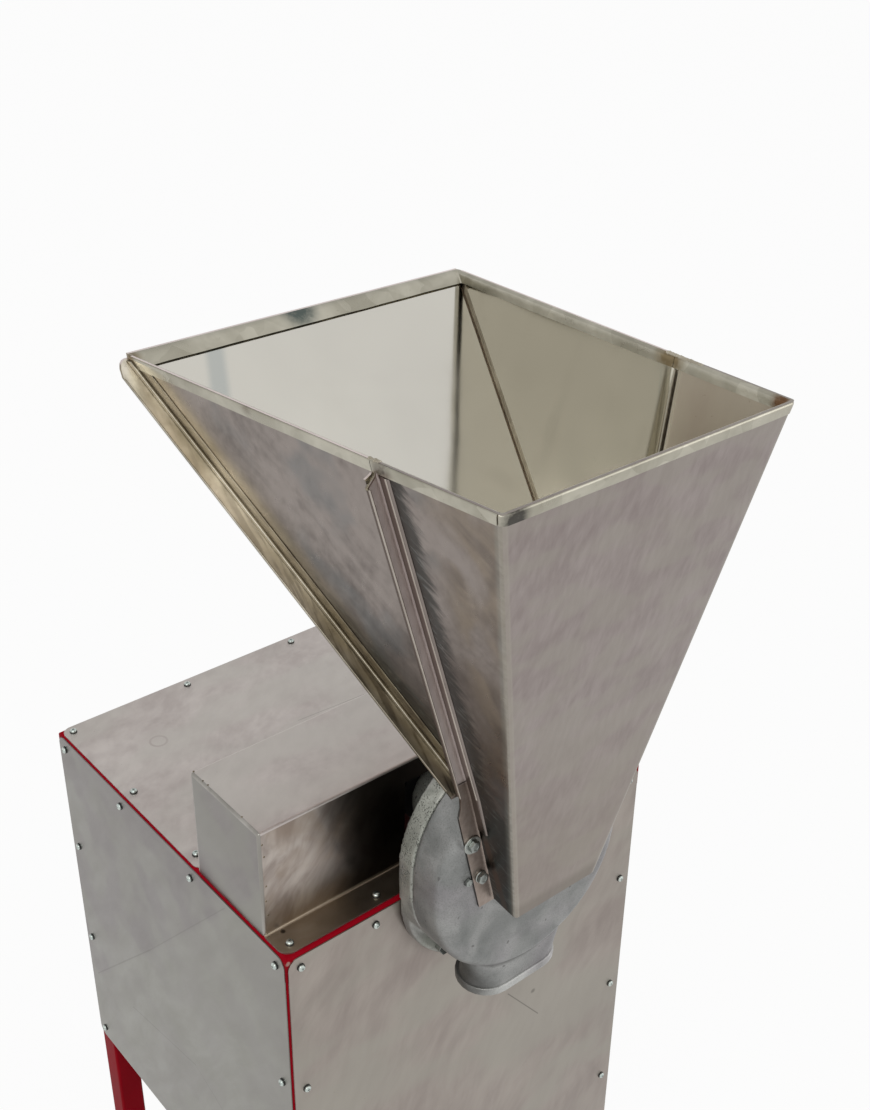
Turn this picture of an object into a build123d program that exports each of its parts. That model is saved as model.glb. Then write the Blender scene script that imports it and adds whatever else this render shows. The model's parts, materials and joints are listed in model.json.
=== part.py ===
"""Sugar grinder: a cast beater mill with a sheet hopper, belt driven from a motor in a tube-framed cabinet.

Millimetres. While it is modelled, x = 0 is the middle of the cabinet, y = 0 the front face of the tube
frame and z = 0 the top of the frame; every piece is then set on the floor by `keep`.
"""
from build123d import *
import math
import os

# Cabinet frame of square tube
cabinet_width = 450.0
cabinet_depth = 433.0
cabinet_top = 750.0
panel_height = 453.0
front_panel_height = 632.0
tube = 30.0
tube_wall = 2.0
foot_plug_flange = 5.0
foot_plug_depth = 18.0
foot_plug_clearance = 0.2

# Sheet panels and their screws
panel_sheet = 1.2
panel_reveal = 1.7
front_top_reveal = 2.5
panel_corner = 11.0
screw_head_radius = 3.5
screw_head_height = 2.6
screw_shank_radius = 1.75
screw_grip = 6.0
screw_clearance = 0.15
even_edge = (0.0, 0.333, 0.667, 1.0)
foot_edge = (0.0, 0.5, 1.0)
side_top_edge = (0.0, 0.36, 0.7, 1.0)
front_top_edge = (0.0, 0.2, 0.4, 0.6, 0.8, 1.0)
near_column = (0.357, 0.68)
far_column = (0.32, 0.645)
front_near_column = (0.26, 0.51, 0.755)
front_far_column = (0.225, 0.49, 0.745)
top_columns = (0.0, 0.48, 1.0)
top_screw_setback = 22.0
top_screw_inset = 12.0

# Belt guard on the cabinet top
guard_front = 36.0
guard_depth = 111.0
guard_height = 119.0
guard_sheet = 1.5
guard_inset = 1.9
guard_bend = 2.5
guard_lip = 4.0
guard_screw_pitch = 97.0
guard_window_side = 25.0
guard_window_above = 9.5
guard_window_below = 3.5
guard_panel_gap = 1.0

# Mill castings, on an axis that runs front to back
mill_rise = 47.5
drum_radius = 110.0
drum_above = 3.5
drum_below = 11.0
drum_wall = 16.0
drum_end_wall = 8.0
drum_edge = 16.0
mount_flange = 12.8
mount_flange_radius = 98.0
mount_flange_drop = 52.5
back_ring = 20.0
front_drum = 46.0
hub_radius = 38.0
hub_length = 58.0
spout_drop = 156.5
spout_width = 102.0
spout_depth = 52.0
spout_setback = 43.0
spout_throat_width = 124.0
spout_throat_depth = 36.0
spout_wall = 7.0
spout_lip = 9.0
spout_flare = 2.0
inlet_width = 92.0
inlet_below = 6.0
inlet_above = 66.0
bolt_boss = 8.0
casting_clearance = 0.3

# Mill mounting
mount_plate = 8.0
mount_plate_width = 170.0
mount_plate_height = 85.0
mount_bolt_radius = 5.0
mount_bolt_head = 8.5
mount_bolt_head_height = 6.4
mount_bolt_skin = 3.0
mount_upper_spread = 75.0
mount_lower_spread = 55.0
mount_lower_drop = 72.0
housing_bolt_radius = 3.0
housing_head_radius = 5.0
housing_head_height = 6.0
housing_head_sink = 7.0
housing_socket = 2.5
housing_socket_depth = 3.0
housing_bolt_angles = (25.0, 70.0, 110.0, 155.0)
housing_bolt_reach = 30.0
pulley_bolt_head = 6.5
pulley_bolt_head_height = 5.3
bolt_clearance = 0.2

# Shaft, bearings and rotor
shaft_radius = 12.5
shaft_thread_radius = 8.0
bearing_radius = 26.0
bearing_width = 15.0
bearing_race = 4.2
bearing_balls = 9
bearing_shoulder = 3.0
running_clearance = 0.04
seal_width = 6.0
circlip = 2.0
circlip_depth = 2.0
rotor_radius = 78.0
rotor_disc = 8.0
rotor_gap = 5.0
rotor_hub_radius = 24.0
rotor_hub_length = 12.0
beater_count = 6
beater_thick = 8.0
beater_inner = 40.0
beater_reach = 24.0
beater_tip_gap = 5.0
sieve_radius = 86.0
sieve_sheet = 3.0
sieve_slots = 36
sieve_slot = 4.0
sieve_land = 7.0
rotor_nut_height = 9.0
rotor_nut_radius = 13.0
rotor_washer = 2.0
key_width = 8.0
key_depth = 4.0
key_height = 3.0

# Belt drive
mill_pitch_radius = 40.0
motor_pitch_radius = 70.0
belt_width = 13.0
belt_height = 8.0
belt_angle = 17.0
belt_clearance = 0.4
pulley_width = 34.0
pulley_rim = 4.0
pulley_gap = 6.0
pulley_bolt_radius = 4.0
pulley_bolt_length = 18.0
pulley_washer_radius = 17.0
pulley_washer = 3.0

# Motor
motor_height = 90.0
motor_foot_gauge = 140.0
motor_foot_rows = 100.0
motor_foot_lead = 56.0
motor_foot_thick = 12.0
motor_foot_width = 36.0
motor_foot_length = 136.0
motor_shaft_reach = 50.0
motor_radius = 80.0
motor_bore = 52.0
motor_air_gap = 0.8
motor_length = 182.0
motor_shield = 12.0
motor_fin_height = 6.0
motor_fin_width = 2.6
motor_fins = 28
motor_bolt_radius = 4.0
motor_bolt_head = 6.5
motor_bolt_head_height = 5.3
fan_space = 52.0
fan_radius = 66.0
fan_blades = 7
fan_blade = 3.0
fan_cover_sheet = 1.5
fan_cover_slots = 10
fan_slot_width = 5.0
terminal_width = 84.0
terminal_length = 96.0
terminal_height = 50.0
terminal_bite = 6.0
terminal_wall = 3.0

# Hopper of sheet in two shells
hopper_sheet = 2.0
rim_front_half = 150.5
rim_front_reach = 178.0
rim_front_rise = 495.0
rim_back_half = 184.0
rim_back_reach = 261.5
rim_back_rise = 478.5
chute_half = 48.5
chute_reach = 105.0
chute_rise = 27.0
chute_tail_rise = 36.0
foot_rise = 166.5
seam_top_reach = 55.0
hem_height = 10.0
hem_sheet = 1.4
rib_width = 11.0
rib_foot_width = 17.0
rib_gap = 3.5
rib_drop = 0.5
rib_cut = 10.0
bead_width = 11.0
bead_height = 2.5
lap_width = 16.0
rear_flange = 16.0
rear_flange_drop = 3.0
rear_flange_cut = 12.0
hopper_bolt_radius = 3.0
hopper_bolt_head = 5.0
hopper_bolt_head_height = 4.0
hopper_bolt_rises = (70.0, 111.5)
hopper_bolt_insets = (8.6, 9.8)
hopper_bolt_reach = 14.0
hopper_washer_radius = 9.0
hopper_small_washer_radius = 6.0
hopper_washer = 1.6
stop_screw_radius = 2.0
stop_screw_head = 3.5
stop_screw_head_height = 3.0
stop_screw_rise = 69.0
stop_screw_gap = 0.8
stop_screw_reach = 6.0

# Starter on the back panel
starter_width = 78.0
starter_height = 122.0
starter_depth = 52.0
starter_wall = 2.5
starter_cover = 6.0
starter_corner = 6.0
starter_x = 110.0
starter_drop = 60.0
button_radius = 13.0
button_spacing = 46.0
button_clearance = 0.4
button_flange = 2.5
start_proud = 5.5
stop_proud = 9.0
gland_radius = 11.0
gland_length = 22.0
gland_bore = 5.0
gland_thread = 8.0

# Places that follow from the sizes above
half_width = cabinet_width / 2
half_tube = tube / 2
tube_corner = 1.75 * tube_wall
floor = -cabinet_top
panel_foot = -panel_height
front_foot = -front_panel_height
guard_back = guard_front + guard_depth
drum_back = -(panel_sheet + mount_flange)
drum_seam = drum_back - back_ring
drum_face = drum_seam - front_drum
drum_bore = drum_radius - drum_wall
cavity_back = drum_back - drum_end_wall
cavity_front = drum_face + drum_end_wall
hub_back = hub_length - panel_sheet
pulley_front = hub_back + pulley_gap
pulley_back = pulley_front + pulley_width
belt_y = (pulley_front + pulley_back) / 2
motor_seat = panel_foot + tube
motor_axis = motor_seat + motor_height
motor_face = belt_y + pulley_width / 2 + pulley_gap
motor_rows = [motor_face + motor_foot_lead + k * motor_foot_rows for k in (0, 1)]
motor_body_front = motor_face + motor_shield
motor_body_back = motor_body_front + motor_length
motor_tail = motor_body_back + motor_shield
terminal_seat = motor_axis + motor_radius + motor_fin_height + motor_fin_width
starter_back = cabinet_depth + panel_sheet + starter_depth
whole_back = starter_back + stop_proud
whole_front = -(rim_front_reach + hopper_sheet + hem_sheet)
front_y = -(whole_front + whole_back) / 2

os.makedirs("parts", exist_ok=True)


def keep(name, shape):
    """Set a piece on the floor, in the middle of the whole object, and write it."""
    export_step(shape.moved(Location((0, front_y, cabinet_top))), f"parts/{name}.step")


def group(shapes):
    """Several separate solids kept as one piece."""
    solids = [solid for shape in shapes for solid in shape.solids()]
    return Compound(solids)


def block(x, y, z):
    """Box between two limits on each axis."""
    limits = (x, y, z)
    size = [high - low for low, high in limits]
    middle = [(high + low) / 2 for low, high in limits]
    return Pos(*middle) * Box(*size)


def rod(radius, y, x=0.0, z=0.0):
    """Cylinder along y between two limits."""
    low, high = y
    return Pos(x, (low + high) / 2, z) * Rot(90, 0, 0) * Cylinder(radius, high - low)


def ring(outer, inner, y, x=0.0, z=0.0):
    return rod(outer, y, x, z) - rod(inner, y, x, z)


def hexagon(across, y, x=0.0, z=0.0):
    """Hexagonal bar along y, from its distance between centre and flat."""
    low, high = y
    face = RegularPolygon(across, 6, major_radius=False)
    return Pos(x, high, z) * Rot(90, 0, 0) * extrude(face, amount=high - low)


def boxes_meet(first, second):
    a = first.bounding_box()
    b = second.bounding_box()
    gaps = (a.min.X - b.max.X, b.min.X - a.max.X, a.min.Y - b.max.Y, b.min.Y - a.max.Y, a.min.Z - b.max.Z)
    return max(*gaps, b.min.Z - a.max.Z) < 0


def drill(shape, holes):
    """Cut only the holes that reach this piece."""
    near = [hole for hole in holes if boxes_meet(shape, hole)]
    return shape - near if near else shape


# Screws: a place is a location whose z points out of the sheet, on the face of the tube below it
def place(x, y, z, normal):
    return Plane(origin=(x, y, z), z_dir=normal).location


def pan_screw(sheet):
    head = Pos(0, 0, sheet + screw_head_height / 2) * Cylinder(screw_head_radius, screw_head_height)
    crown = head.edges().sort_by(Axis.Z)[-1]
    head = fillet(crown, 0.6 * screw_head_height)
    length = sheet + tube_wall + screw_grip
    return head + Pos(0, 0, sheet - length / 2) * Cylinder(screw_shank_radius, length)


def screw_hole(sheet):
    depth = tube_wall + screw_grip + screw_clearance
    height = sheet + depth
    return Pos(0, 0, sheet - height / 2) * Cylinder(screw_shank_radius + screw_clearance, height)


def border(u, v, top, low_column, high_column):
    """Places round a panel: a row along its top and foot, and the rest of a column down each side."""
    spots = [(u[0] + part * (u[1] - u[0]), v[1]) for part in top]
    spots += [(u[0] + part * (u[1] - u[0]), v[0]) for part in foot_edge]
    for edge, column in zip(u, (low_column, high_column)):
        spots += [(edge, v[1] + part * (v[0] - v[1])) for part in column]
    return spots


def clear_of_mill(x, z):
    """Whether a screw's head in the front panel stands outside the mill's mounting flange."""
    apart = math.hypot(x, z - (mill_rise - mount_flange_drop))
    return apart > mount_flange_radius + 2 * screw_head_radius


def screw_places():
    """Locations of the screws of each sheet."""
    left, right = -half_width + half_tube, half_width - half_tube
    across = (left, right)
    along = (half_tube, cabinet_depth - half_tube)
    upright = (panel_foot + half_tube, -half_tube)
    rows = {}
    tall = (front_foot + half_tube, -half_tube)
    spots = border(across, tall, front_top_edge, front_near_column, front_far_column)
    rows["front"] = [place(x, 0, z, (0, -1, 0)) for x, z in spots if clear_of_mill(x, z)]
    spots = border(across, upright, even_edge, far_column, far_column)
    rows["back"] = [place(x, cabinet_depth, z, (0, 1, 0)) for x, z in spots]
    for side, name in ((-1, "left"), (1, "right")):
        spots = border(along, upright, side_top_edge, near_column, far_column)
        rows[name] = [place(side * half_width, y, z, (side, 0, 0)) for y, z in spots]
    first, last = guard_back + top_screw_setback, cabinet_depth - top_screw_inset
    reach = half_width - top_screw_inset
    top = [(x, first + part * (last - first)) for x in (-reach, reach) for part in top_columns]
    top += [(-reach + part * 2 * reach, last) for part in even_edge[1:-1]]
    rows["top"] = [place(x, y, 0, (0, 0, 1)) for x, y in top]
    guard = [side * (right - k * guard_screw_pitch) for side in (-1, 1) for k in (0, 1)]
    rows["guard"] = [place(x, half_tube, 0, (0, 0, 1)) for x in guard]
    return rows


screws = screw_places()
sheet_of = {name: guard_sheet if name == "guard" else panel_sheet for name in screws}
screw_holes = [spot * screw_hole(sheet_of[name]) for name, spots in screws.items() for spot in spots]
screw_solids = [spot * pan_screw(sheet_of[name]) for name, spots in screws.items() for spot in spots]
keep("panel_screws", group(screw_solids))


# Bolts that fasten the mill and the motor to the frame
mount_upper = [(side * mount_upper_spread, -half_tube) for side in (-1, 1)]
mount_lower = [(side * mount_lower_spread, -mount_lower_drop) for side in (-1, 1)]
mount_hole = mount_bolt_radius + bolt_clearance
mount_blind = drum_back + mount_bolt_skin
mount_holes = [rod(mount_hole, (mount_blind, tube), x, z) for x, z in mount_upper]
mount_holes += [rod(mount_hole, (drum_back, mount_plate), x, z) for x, z in mount_lower]
motor_spots = [(side * motor_foot_gauge / 2, y) for side in (-1, 1) for y in motor_rows]


def motor_rod(radius, low, high):
    return [Pos(x, y, (low + high) / 2) * Cylinder(radius, high - low) for x, y in motor_spots]


motor_holes = motor_rod(motor_bolt_radius + bolt_clearance, panel_foot, motor_seat + motor_foot_thick)


# Frame
def square_tube(length):
    outer = RectangleRounded(tube, tube, tube_corner)
    inner = RectangleRounded(tube - 2 * tube_wall, tube - 2 * tube_wall, tube_corner - tube_wall)
    return Pos(0, 0, -length / 2) * extrude(outer - inner, amount=length)


def rail_x(length, y, z):
    return Pos(0, y, z) * Rot(0, 90, 0) * square_tube(length)


def rail_y(length, x, z):
    return Pos(x, cabinet_depth / 2, z) * Rot(90, 0, 0) * square_tube(length)


def mitre(corners):
    """Upright wedge that one top rail fills between its mitred ends."""
    quarter = make_face(Polyline(*corners, close=True))
    return Pos(0, 0, -2 * tube) * extrude(quarter, amount=3 * tube, dir=(0, 0, 1))


def keep_frame():
    frame_holes = screw_holes + mount_holes
    wide, deep = cabinet_width, cabinet_depth
    inner, outer = half_width - 2 * tube, half_width + tube
    near, far, ahead, behind = 2 * tube, deep - 2 * tube, -tube, deep + tube
    outline = {
        "front": [(-outer, ahead), (outer, ahead), (inner, near), (-inner, near)],
        "back": [(-outer, behind), (outer, behind), (inner, far), (-inner, far)],
        "left": [(-outer, ahead), (-inner, near), (-inner, far), (-outer, behind)],
        "right": [(outer, ahead), (inner, near), (inner, far), (outer, behind)],
    }
    bar = {
        "front": rail_x(wide, half_tube, -half_tube),
        "back": rail_x(wide, deep - half_tube, -half_tube),
        "left": rail_y(deep, -half_width + half_tube, -half_tube),
        "right": rail_y(deep, half_width - half_tube, -half_tube),
    }
    for side, corners in outline.items():
        keep(f"top_rail_{side}", drill(bar[side] & mitre(corners), frame_holes))
    lower = panel_foot + half_tube
    keep("lower_rail_front", drill(rail_x(wide - 2 * tube, half_tube, front_foot + half_tube), frame_holes))
    keep("lower_rail_back", drill(rail_x(wide - 2 * tube, deep - half_tube, lower), frame_holes))
    keep("lower_rail_left", drill(rail_y(deep - 2 * tube, -half_width + half_tube, lower), frame_holes))
    keep("lower_rail_right", drill(rail_y(deep - 2 * tube, half_width - half_tube, lower), frame_holes))
    keep("guard_cross_rail", drill(rail_x(wide - 2 * tube, guard_back, -half_tube), frame_holes))
    keep("motor_rails", group([drill(rail_x(wide - 2 * tube, y, lower), motor_holes) for y in motor_rows]))
    length = cabinet_top - tube - foot_plug_flange
    middle = -tube - length / 2
    plugs = []
    for across, x in (("left", -half_width + half_tube), ("right", half_width - half_tube)):
        for along, y in (("front", half_tube), ("back", deep - half_tube)):
            keep(f"leg_{along}_{across}", drill(Pos(x, y, middle) * square_tube(length), frame_holes))
            plugs.append(Pos(x, y, floor) * foot_plug())
    keep("foot_plugs", group(plugs))


def foot_plug():
    """Pad under the tube's end, with a hollow stem inside the tube."""
    fit = tube - 2 * (tube_wall + foot_plug_clearance)
    pad = extrude(RectangleRounded(tube, tube, tube_corner), amount=foot_plug_flange)
    hollow = fit - 2 * tube_wall
    stem = RectangleRounded(fit, fit, tube_corner - tube_wall) - Rectangle(hollow, hollow)
    return pad + Pos(0, 0, foot_plug_flange) * extrude(stem, amount=foot_plug_depth)


keep_frame()


# Panels
def sheet_panel(width, height):
    return extrude(RectangleRounded(width, height, panel_corner), amount=panel_sheet)


def keep_panels():
    wide = cabinet_width - 2 * panel_reveal
    deep = cabinet_depth - 2 * panel_reveal
    low, tall = (panel_height + panel_reveal) / 2, (front_panel_height + front_top_reveal) / 2
    height, front_height = panel_height - panel_reveal, front_panel_height - front_top_reveal
    faces = {
        "front": (place(0, 0, -tall, (0, -1, 0)), wide, front_height),
        "back": (place(0, cabinet_depth, -low, (0, 1, 0)), wide, height),
        "left": (place(-half_width, cabinet_depth / 2, -low, (-1, 0, 0)), deep, height),
        "right": (place(half_width, cabinet_depth / 2, -low, (1, 0, 0)), deep, height),
    }
    for side, (spot, length, upright) in faces.items():
        flat = spot * Rot(0, 0, sheet_turn(spot)) * sheet_panel(length, upright)
        keep(f"{side}_panel", drill(flat, screw_holes + mount_holes))
    near, far = guard_back + guard_panel_gap, cabinet_depth - panel_reveal
    top = Pos(0, (near + far) / 2, 0) * sheet_panel(wide, far - near)
    keep("top_panel", drill(top, screw_holes))


def sheet_turn(spot):
    """Turn about its own normal that stands a sheet's height upright."""
    across = (Plane(spot).x_dir).Z
    return 90.0 if abs(across) > 0.5 else 0.0


keep_panels()


# Belt guard
def belt_guard():
    half = half_width - guard_inset
    shell = block((-half, half), (guard_front, guard_back), (0, guard_height))
    upright = shell.edges().filter_by(Axis.Z)
    crown = shell.faces().sort_by(Axis.Z)[-1].edges()
    shell = fillet(upright + crown, guard_bend)
    skin = guard_sheet
    across, along = (-half + skin, half - skin), (guard_front + skin, guard_back - skin)
    shell -= block(across, along, (-skin, guard_height - skin))
    lip = block((-half, half), (guard_lip, guard_front + skin), (0, skin))
    shell += fillet(lip.edges().filter_by(Axis.Z).sort_by(Axis.Y)[:2], panel_corner)
    side = hub_radius + guard_window_side
    low, high = mill_rise - hub_radius - guard_window_below, mill_rise + hub_radius + guard_window_above
    shell -= block((-side, side), (guard_front - skin, guard_front + 2 * skin), (low, high))
    return drill(shell, screw_holes)


keep("belt_guard", belt_guard())


# Mill: back casting with its mounting flange and bearing hub
housing_radius = (drum_radius + drum_bore) / 2
housing_spots = [
    (housing_radius * math.cos(math.radians(a)), mill_rise + housing_radius * math.sin(math.radians(a)))
    for a in housing_bolt_angles
]
housing_bores = (
    (housing_bolt_radius + bolt_clearance, housing_bolt_reach),
    (housing_head_radius + bolt_clearance, housing_head_sink),
)
housing_holes = [
    rod(radius, (drum_back - depth, drum_back), x, z)
    for radius, depth in housing_bores
    for x, z in housing_spots
]
clip_span = (hub_back - circlip_depth - circlip, hub_back - circlip_depth)
bearing_backs = [hub_back - circlip_depth - circlip, drum_back + bearing_shoulder + bearing_width]
bearing_spans = [(back - bearing_width, back) for back in bearing_backs]


def drum_form(y, grow=0.0):
    """Outer form of the castings between two limits: round above and below, with short upright sides."""
    low, high = y
    across = 2 * (drum_radius + grow)
    outline = Rot(0, 0, 90) * SlotOverall(across + drum_above + drum_below, across)
    middle = mill_rise + (drum_above - drum_below) / 2
    return Pos(0, high, middle) * Rot(90, 0, 0) * extrude(outline, amount=high - low)


def back_housing():
    body = rod(mount_flange_radius, (drum_back, -panel_sheet), 0, mill_rise - mount_flange_drop)
    body += drum_form((drum_seam, drum_back))
    body += rod(hub_radius, (drum_back, hub_back), 0, mill_rise)
    body -= rod(drum_bore, (drum_seam, cavity_back), 0, mill_rise)
    body -= rod(bearing_radius - bearing_shoulder, (cavity_back, hub_back), 0, mill_rise)
    body -= rod(bearing_radius, (drum_back + bearing_shoulder, hub_back), 0, mill_rise)
    body -= rod(bearing_radius + circlip, clip_span, 0, mill_rise)
    return drill(body, mount_holes + housing_holes)


def sieve_ring():
    band = ring(sieve_radius + sieve_sheet, sieve_radius, (cavity_front, cavity_back), 0, mill_rise)
    middle = (cavity_front + cavity_back) / 2
    length = cavity_back - cavity_front - 2 * sieve_land
    slot = Pos(sieve_radius + sieve_sheet / 2, 0, 0) * Box(3 * sieve_sheet, length, sieve_slot)
    turns = [Pos(0, middle, mill_rise) * Rot(0, 360 * k / sieve_slots, 0) * slot for k in range(sieve_slots)]
    return band - turns


keep("mill_back_housing", back_housing())
keep("sieve_ring", sieve_ring())


# Hopper planes: the profile is drawn over (y, z), the side walls as a half width over (y, z)
seam_foot = (drum_face, foot_rise)
seam_slope = (drum_face + seam_top_reach) / (foot_rise - rim_back_rise)
rim_front_point = (-rim_front_reach, rim_front_rise)
rim_back_point = (rim_back_reach, rim_back_rise)
chute_point = (-chute_reach, chute_rise)
tail_point = (drum_face, chute_tail_rise)


def side_coefficients():
    """Constant, y slope and z slope of the side wall's plane through three of its corners."""
    (y1, z1), (y2, z2), (y3, z3) = rim_front_point, rim_back_point, chute_point
    area = (y2 - y1) * (z3 - z1) - (y3 - y1) * (z2 - z1)
    rise2, rise3 = rim_back_half - rim_front_half, chute_half - rim_front_half
    by_y = (rise2 * (z3 - z1) - rise3 * (z2 - z1)) / area
    by_z = (rise3 * (y2 - y1) - rise2 * (y3 - y1)) / area
    return rim_front_half - by_y * y1 - by_z * z1, by_y, by_z


side_base, side_by_y, side_by_z = side_coefficients()
side_lean = math.sqrt(1 + side_by_y**2 + side_by_z**2)


def side_x(y, z, outset=0.0):
    """Half width of the hopper at a height and depth, measured square to the wall for the outset."""
    return side_base + side_by_y * y + side_by_z * z + outset * side_lean


def seam_y(z):
    """Depth of the seam between the shells at a height; below the foot it lies on the drum's face."""
    return drum_face if z < foot_rise else drum_face + seam_slope * (z - foot_rise)


def solid_of(corners, faces):
    """Solid with flat faces, each given by the numbers of its corners."""
    return Solid(Shell([Face(Wire.make_polygon([corners[k] for k in face])) for face in faces]))


hopper_low = chute_rise - 3 * hem_height
hopper_high = rim_front_rise + 3 * hem_height
hopper_near = -rim_front_reach - 3 * hem_height
hopper_far = rim_back_reach + 3 * hem_height


def wedge(outset):
    """Everything between the two side walls, moved outwards by the outset."""
    lower, upper = (hopper_low, hopper_low), (hopper_high, hopper_high)
    spots = list(zip((hopper_near, hopper_far, hopper_far, hopper_near), lower + upper))
    corners = [(side * side_x(y, z, outset), y, z) for side in (-1, 1) for y, z in spots]
    faces = [(0, 1, 2, 3), (4, 5, 6, 7), (0, 1, 5, 4), (1, 2, 6, 5), (2, 3, 7, 6), (3, 0, 4, 7)]
    return solid_of(corners, faces)


def prism(points):
    """Solid as wide as needed, from its (y, z) outline."""
    face = Face(Wire.make_polygon([(0, y, z) for y, z in points]))
    return extrude(face, amount=rim_back_half + 6 * rib_width, dir=(1, 0, 0), both=True)


def moved_line(first, second, outset):
    """Line through two points, moved square to itself towards its left."""
    (y1, z1), (y2, z2) = first, second
    length = math.hypot(y2 - y1, z2 - z1)
    dy, dz = -(z2 - z1) / length * outset, (y2 - y1) / length * outset
    return (y1 + dy, z1 + dz), (y2 + dy, z2 + dz)


def crossing(first, second):
    """Point where two lines meet."""
    (y1, z1), (y2, z2) = first
    (y3, z3), (y4, z4) = second
    cross = (y1 - y2) * (z3 - z4) - (z1 - z2) * (y3 - y4)
    one = y1 * z2 - z1 * y2
    two = y3 * z4 - z3 * y4
    return (one * (y3 - y4) - (y1 - y2) * two) / cross, (one * (z3 - z4) - (z1 - z2) * two) / cross


rim_line = (rim_back_point, rim_front_point)
front_line = (rim_front_point, chute_point)
floor_line = (chute_point, tail_point)
rear_line = (seam_foot, rim_back_point)


def profile(outset, rim_rise):
    """Outline of the hopper's space, moved outwards: rim, front wall, chute floor, drum face, rear wall."""
    rim = moved_line(*rim_line, -rim_rise)
    front = moved_line(*front_line, -outset)
    base = moved_line(*floor_line, -outset)
    face = ((drum_face, chute_rise), (drum_face, foot_rise))
    rear = moved_line(*rear_line, -outset)
    lines = (rim, front, base, face, rear)
    return [crossing(lines[k], lines[(k + 1) % len(lines)]) for k in range(len(lines))]


def hopper_space(outset, rim_rise=0.0):
    return prism(profile(outset, rim_rise)) & wedge(outset)


def seam_outline(low, high, front, back):
    """Band along the seam between two heights, from one distance to another behind it."""
    heights = [low, foot_rise, high] if low < foot_rise < high else [low, high]
    ahead = [(seam_y(z) + front, z) for z in heights]
    behind = [(seam_y(z) + back, z) for z in reversed(heights)]
    return ahead + behind


def strip(outline, inner, outer):
    """Pieces on both side walls: an outline over (y, z), between two outsets from the wall."""
    return (prism(outline) & wedge(outer)) - wedge(inner)


def hem():
    """Folded band round the rim, proud of the wall on both faces."""
    low_back, low_front = moved_line(*rim_line, hem_height)
    high_back, high_front = moved_line(*rim_line, -hem_height)
    far = [(hopper_far, high_back[1]), (hopper_far, low_back[1])]
    band = prism([*far, (hopper_near, low_front[1]), (hopper_near, high_front[1])])
    return (hopper_space(hopper_sheet + hem_sheet) - hopper_space(-hem_sheet, hem_height)) & band


reach_of_rib = hopper_sheet + rib_width
reach_of_foot = hopper_sheet + rib_foot_width
rim_slope = (rim_back_rise - rim_front_rise) / (rim_back_reach + rim_front_reach)
rim_at_seam = rim_front_rise + rim_slope * (rim_front_reach - seam_top_reach)
rib_top = rim_at_seam - hem_height - rib_drop
bead_foot = max(hopper_bolt_rises) + hopper_washer_radius + rib_gap
ahead_of_seam = prism([(hopper_near, hopper_low), (drum_face, hopper_low), seam_foot,
                       (seam_y(hopper_high), hopper_high), (hopper_near, hopper_high)])
behind_gap = [(seam_y(z) + rib_gap, z) for z in (foot_rise, hopper_high)]
behind_seam = prism([(drum_face + rib_gap, hopper_low), *behind_gap, (hopper_far, hopper_high),
                     (hopper_far, hopper_low)])
foot_back = drum_face + 2 * rib_gap
foot_high = foot_rise + rib_gap
foot_strip = prism([(drum_face, hopper_low), (drum_face, foot_high), (foot_back, foot_high),
                    (foot_back, hopper_low)])
hem_split = [(seam_y(z) + rib_gap - casting_clearance, z) for z in (foot_rise, hopper_high)]
ahead_of_split = prism([(hopper_near, foot_rise), *hem_split, (hopper_near, hopper_high)])
hopper_wall = hopper_space(hopper_sheet) - hopper_space(0, hem_height)
hopper_hem = hem()
hopper_spots = [
    (side * side_x(drum_face, z, hopper_sheet + inset), z)
    for side in (-1, 1) for z, inset in zip(hopper_bolt_rises, hopper_bolt_insets)
]
hopper_holes = [
    rod(hopper_bolt_radius + bolt_clearance, (drum_face - hopper_sheet, drum_face + hopper_bolt_reach), x, z)
    for x, z in hopper_spots
]
stop_x = side_x(drum_face, stop_screw_rise, reach_of_foot) + stop_screw_head + stop_screw_gap
stop_spots = [(side * stop_x, stop_screw_rise) for side in (-1, 1)]
stop_holes = [
    rod(stop_screw_radius + bolt_clearance, (drum_face, drum_face + stop_screw_reach + bolt_clearance), x, z)
    for x, z in stop_spots
]


def slanting_tops(y, z, width, drop):
    """Space above the slanting tops of a pair of flanges that stand out from the walls at this place."""
    inner = side_x(y, z, hopper_sheet)
    outer = inner + 2 * width
    points = [(inner, z), (outer, z - 2 * drop), (outer, hopper_high), (inner, hopper_high)]
    right = Face(Wire.make_polygon([(x, y, z) for x, z in points]))
    left = Face(Wire.make_polygon([(-x, y, z) for x, z in points]))
    return [extrude(face, amount=4 * width, dir=(0, 1, 0), both=True) for face in (left, right)]


def rib_corners():
    return slanting_tops(seam_y(rib_top), rib_top, rib_width, rib_cut)


def front_shell():
    shell = (hopper_wall & ahead_of_seam) + (hopper_hem & ahead_of_split)
    leaf = strip(seam_outline(chute_tail_rise, rib_top, -hopper_sheet, 0), hopper_sheet / 2, reach_of_rib)
    leaf += strip(seam_outline(chute_tail_rise, foot_rise, -hopper_sheet, 0), hopper_sheet / 2, reach_of_foot)
    over = seam_outline(foot_rise, rib_top, -hopper_sheet, rib_gap + hopper_sheet)
    edge = strip(over, rib_width, reach_of_rib)
    ahead = seam_outline(bead_foot, rib_top, -hopper_sheet - bead_width, -hopper_sheet / 2)
    bead = strip(ahead, hopper_sheet / 2, hopper_sheet + bead_height)
    return drill(shell + (leaf + edge - rib_corners()) + bead, hopper_holes)


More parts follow.
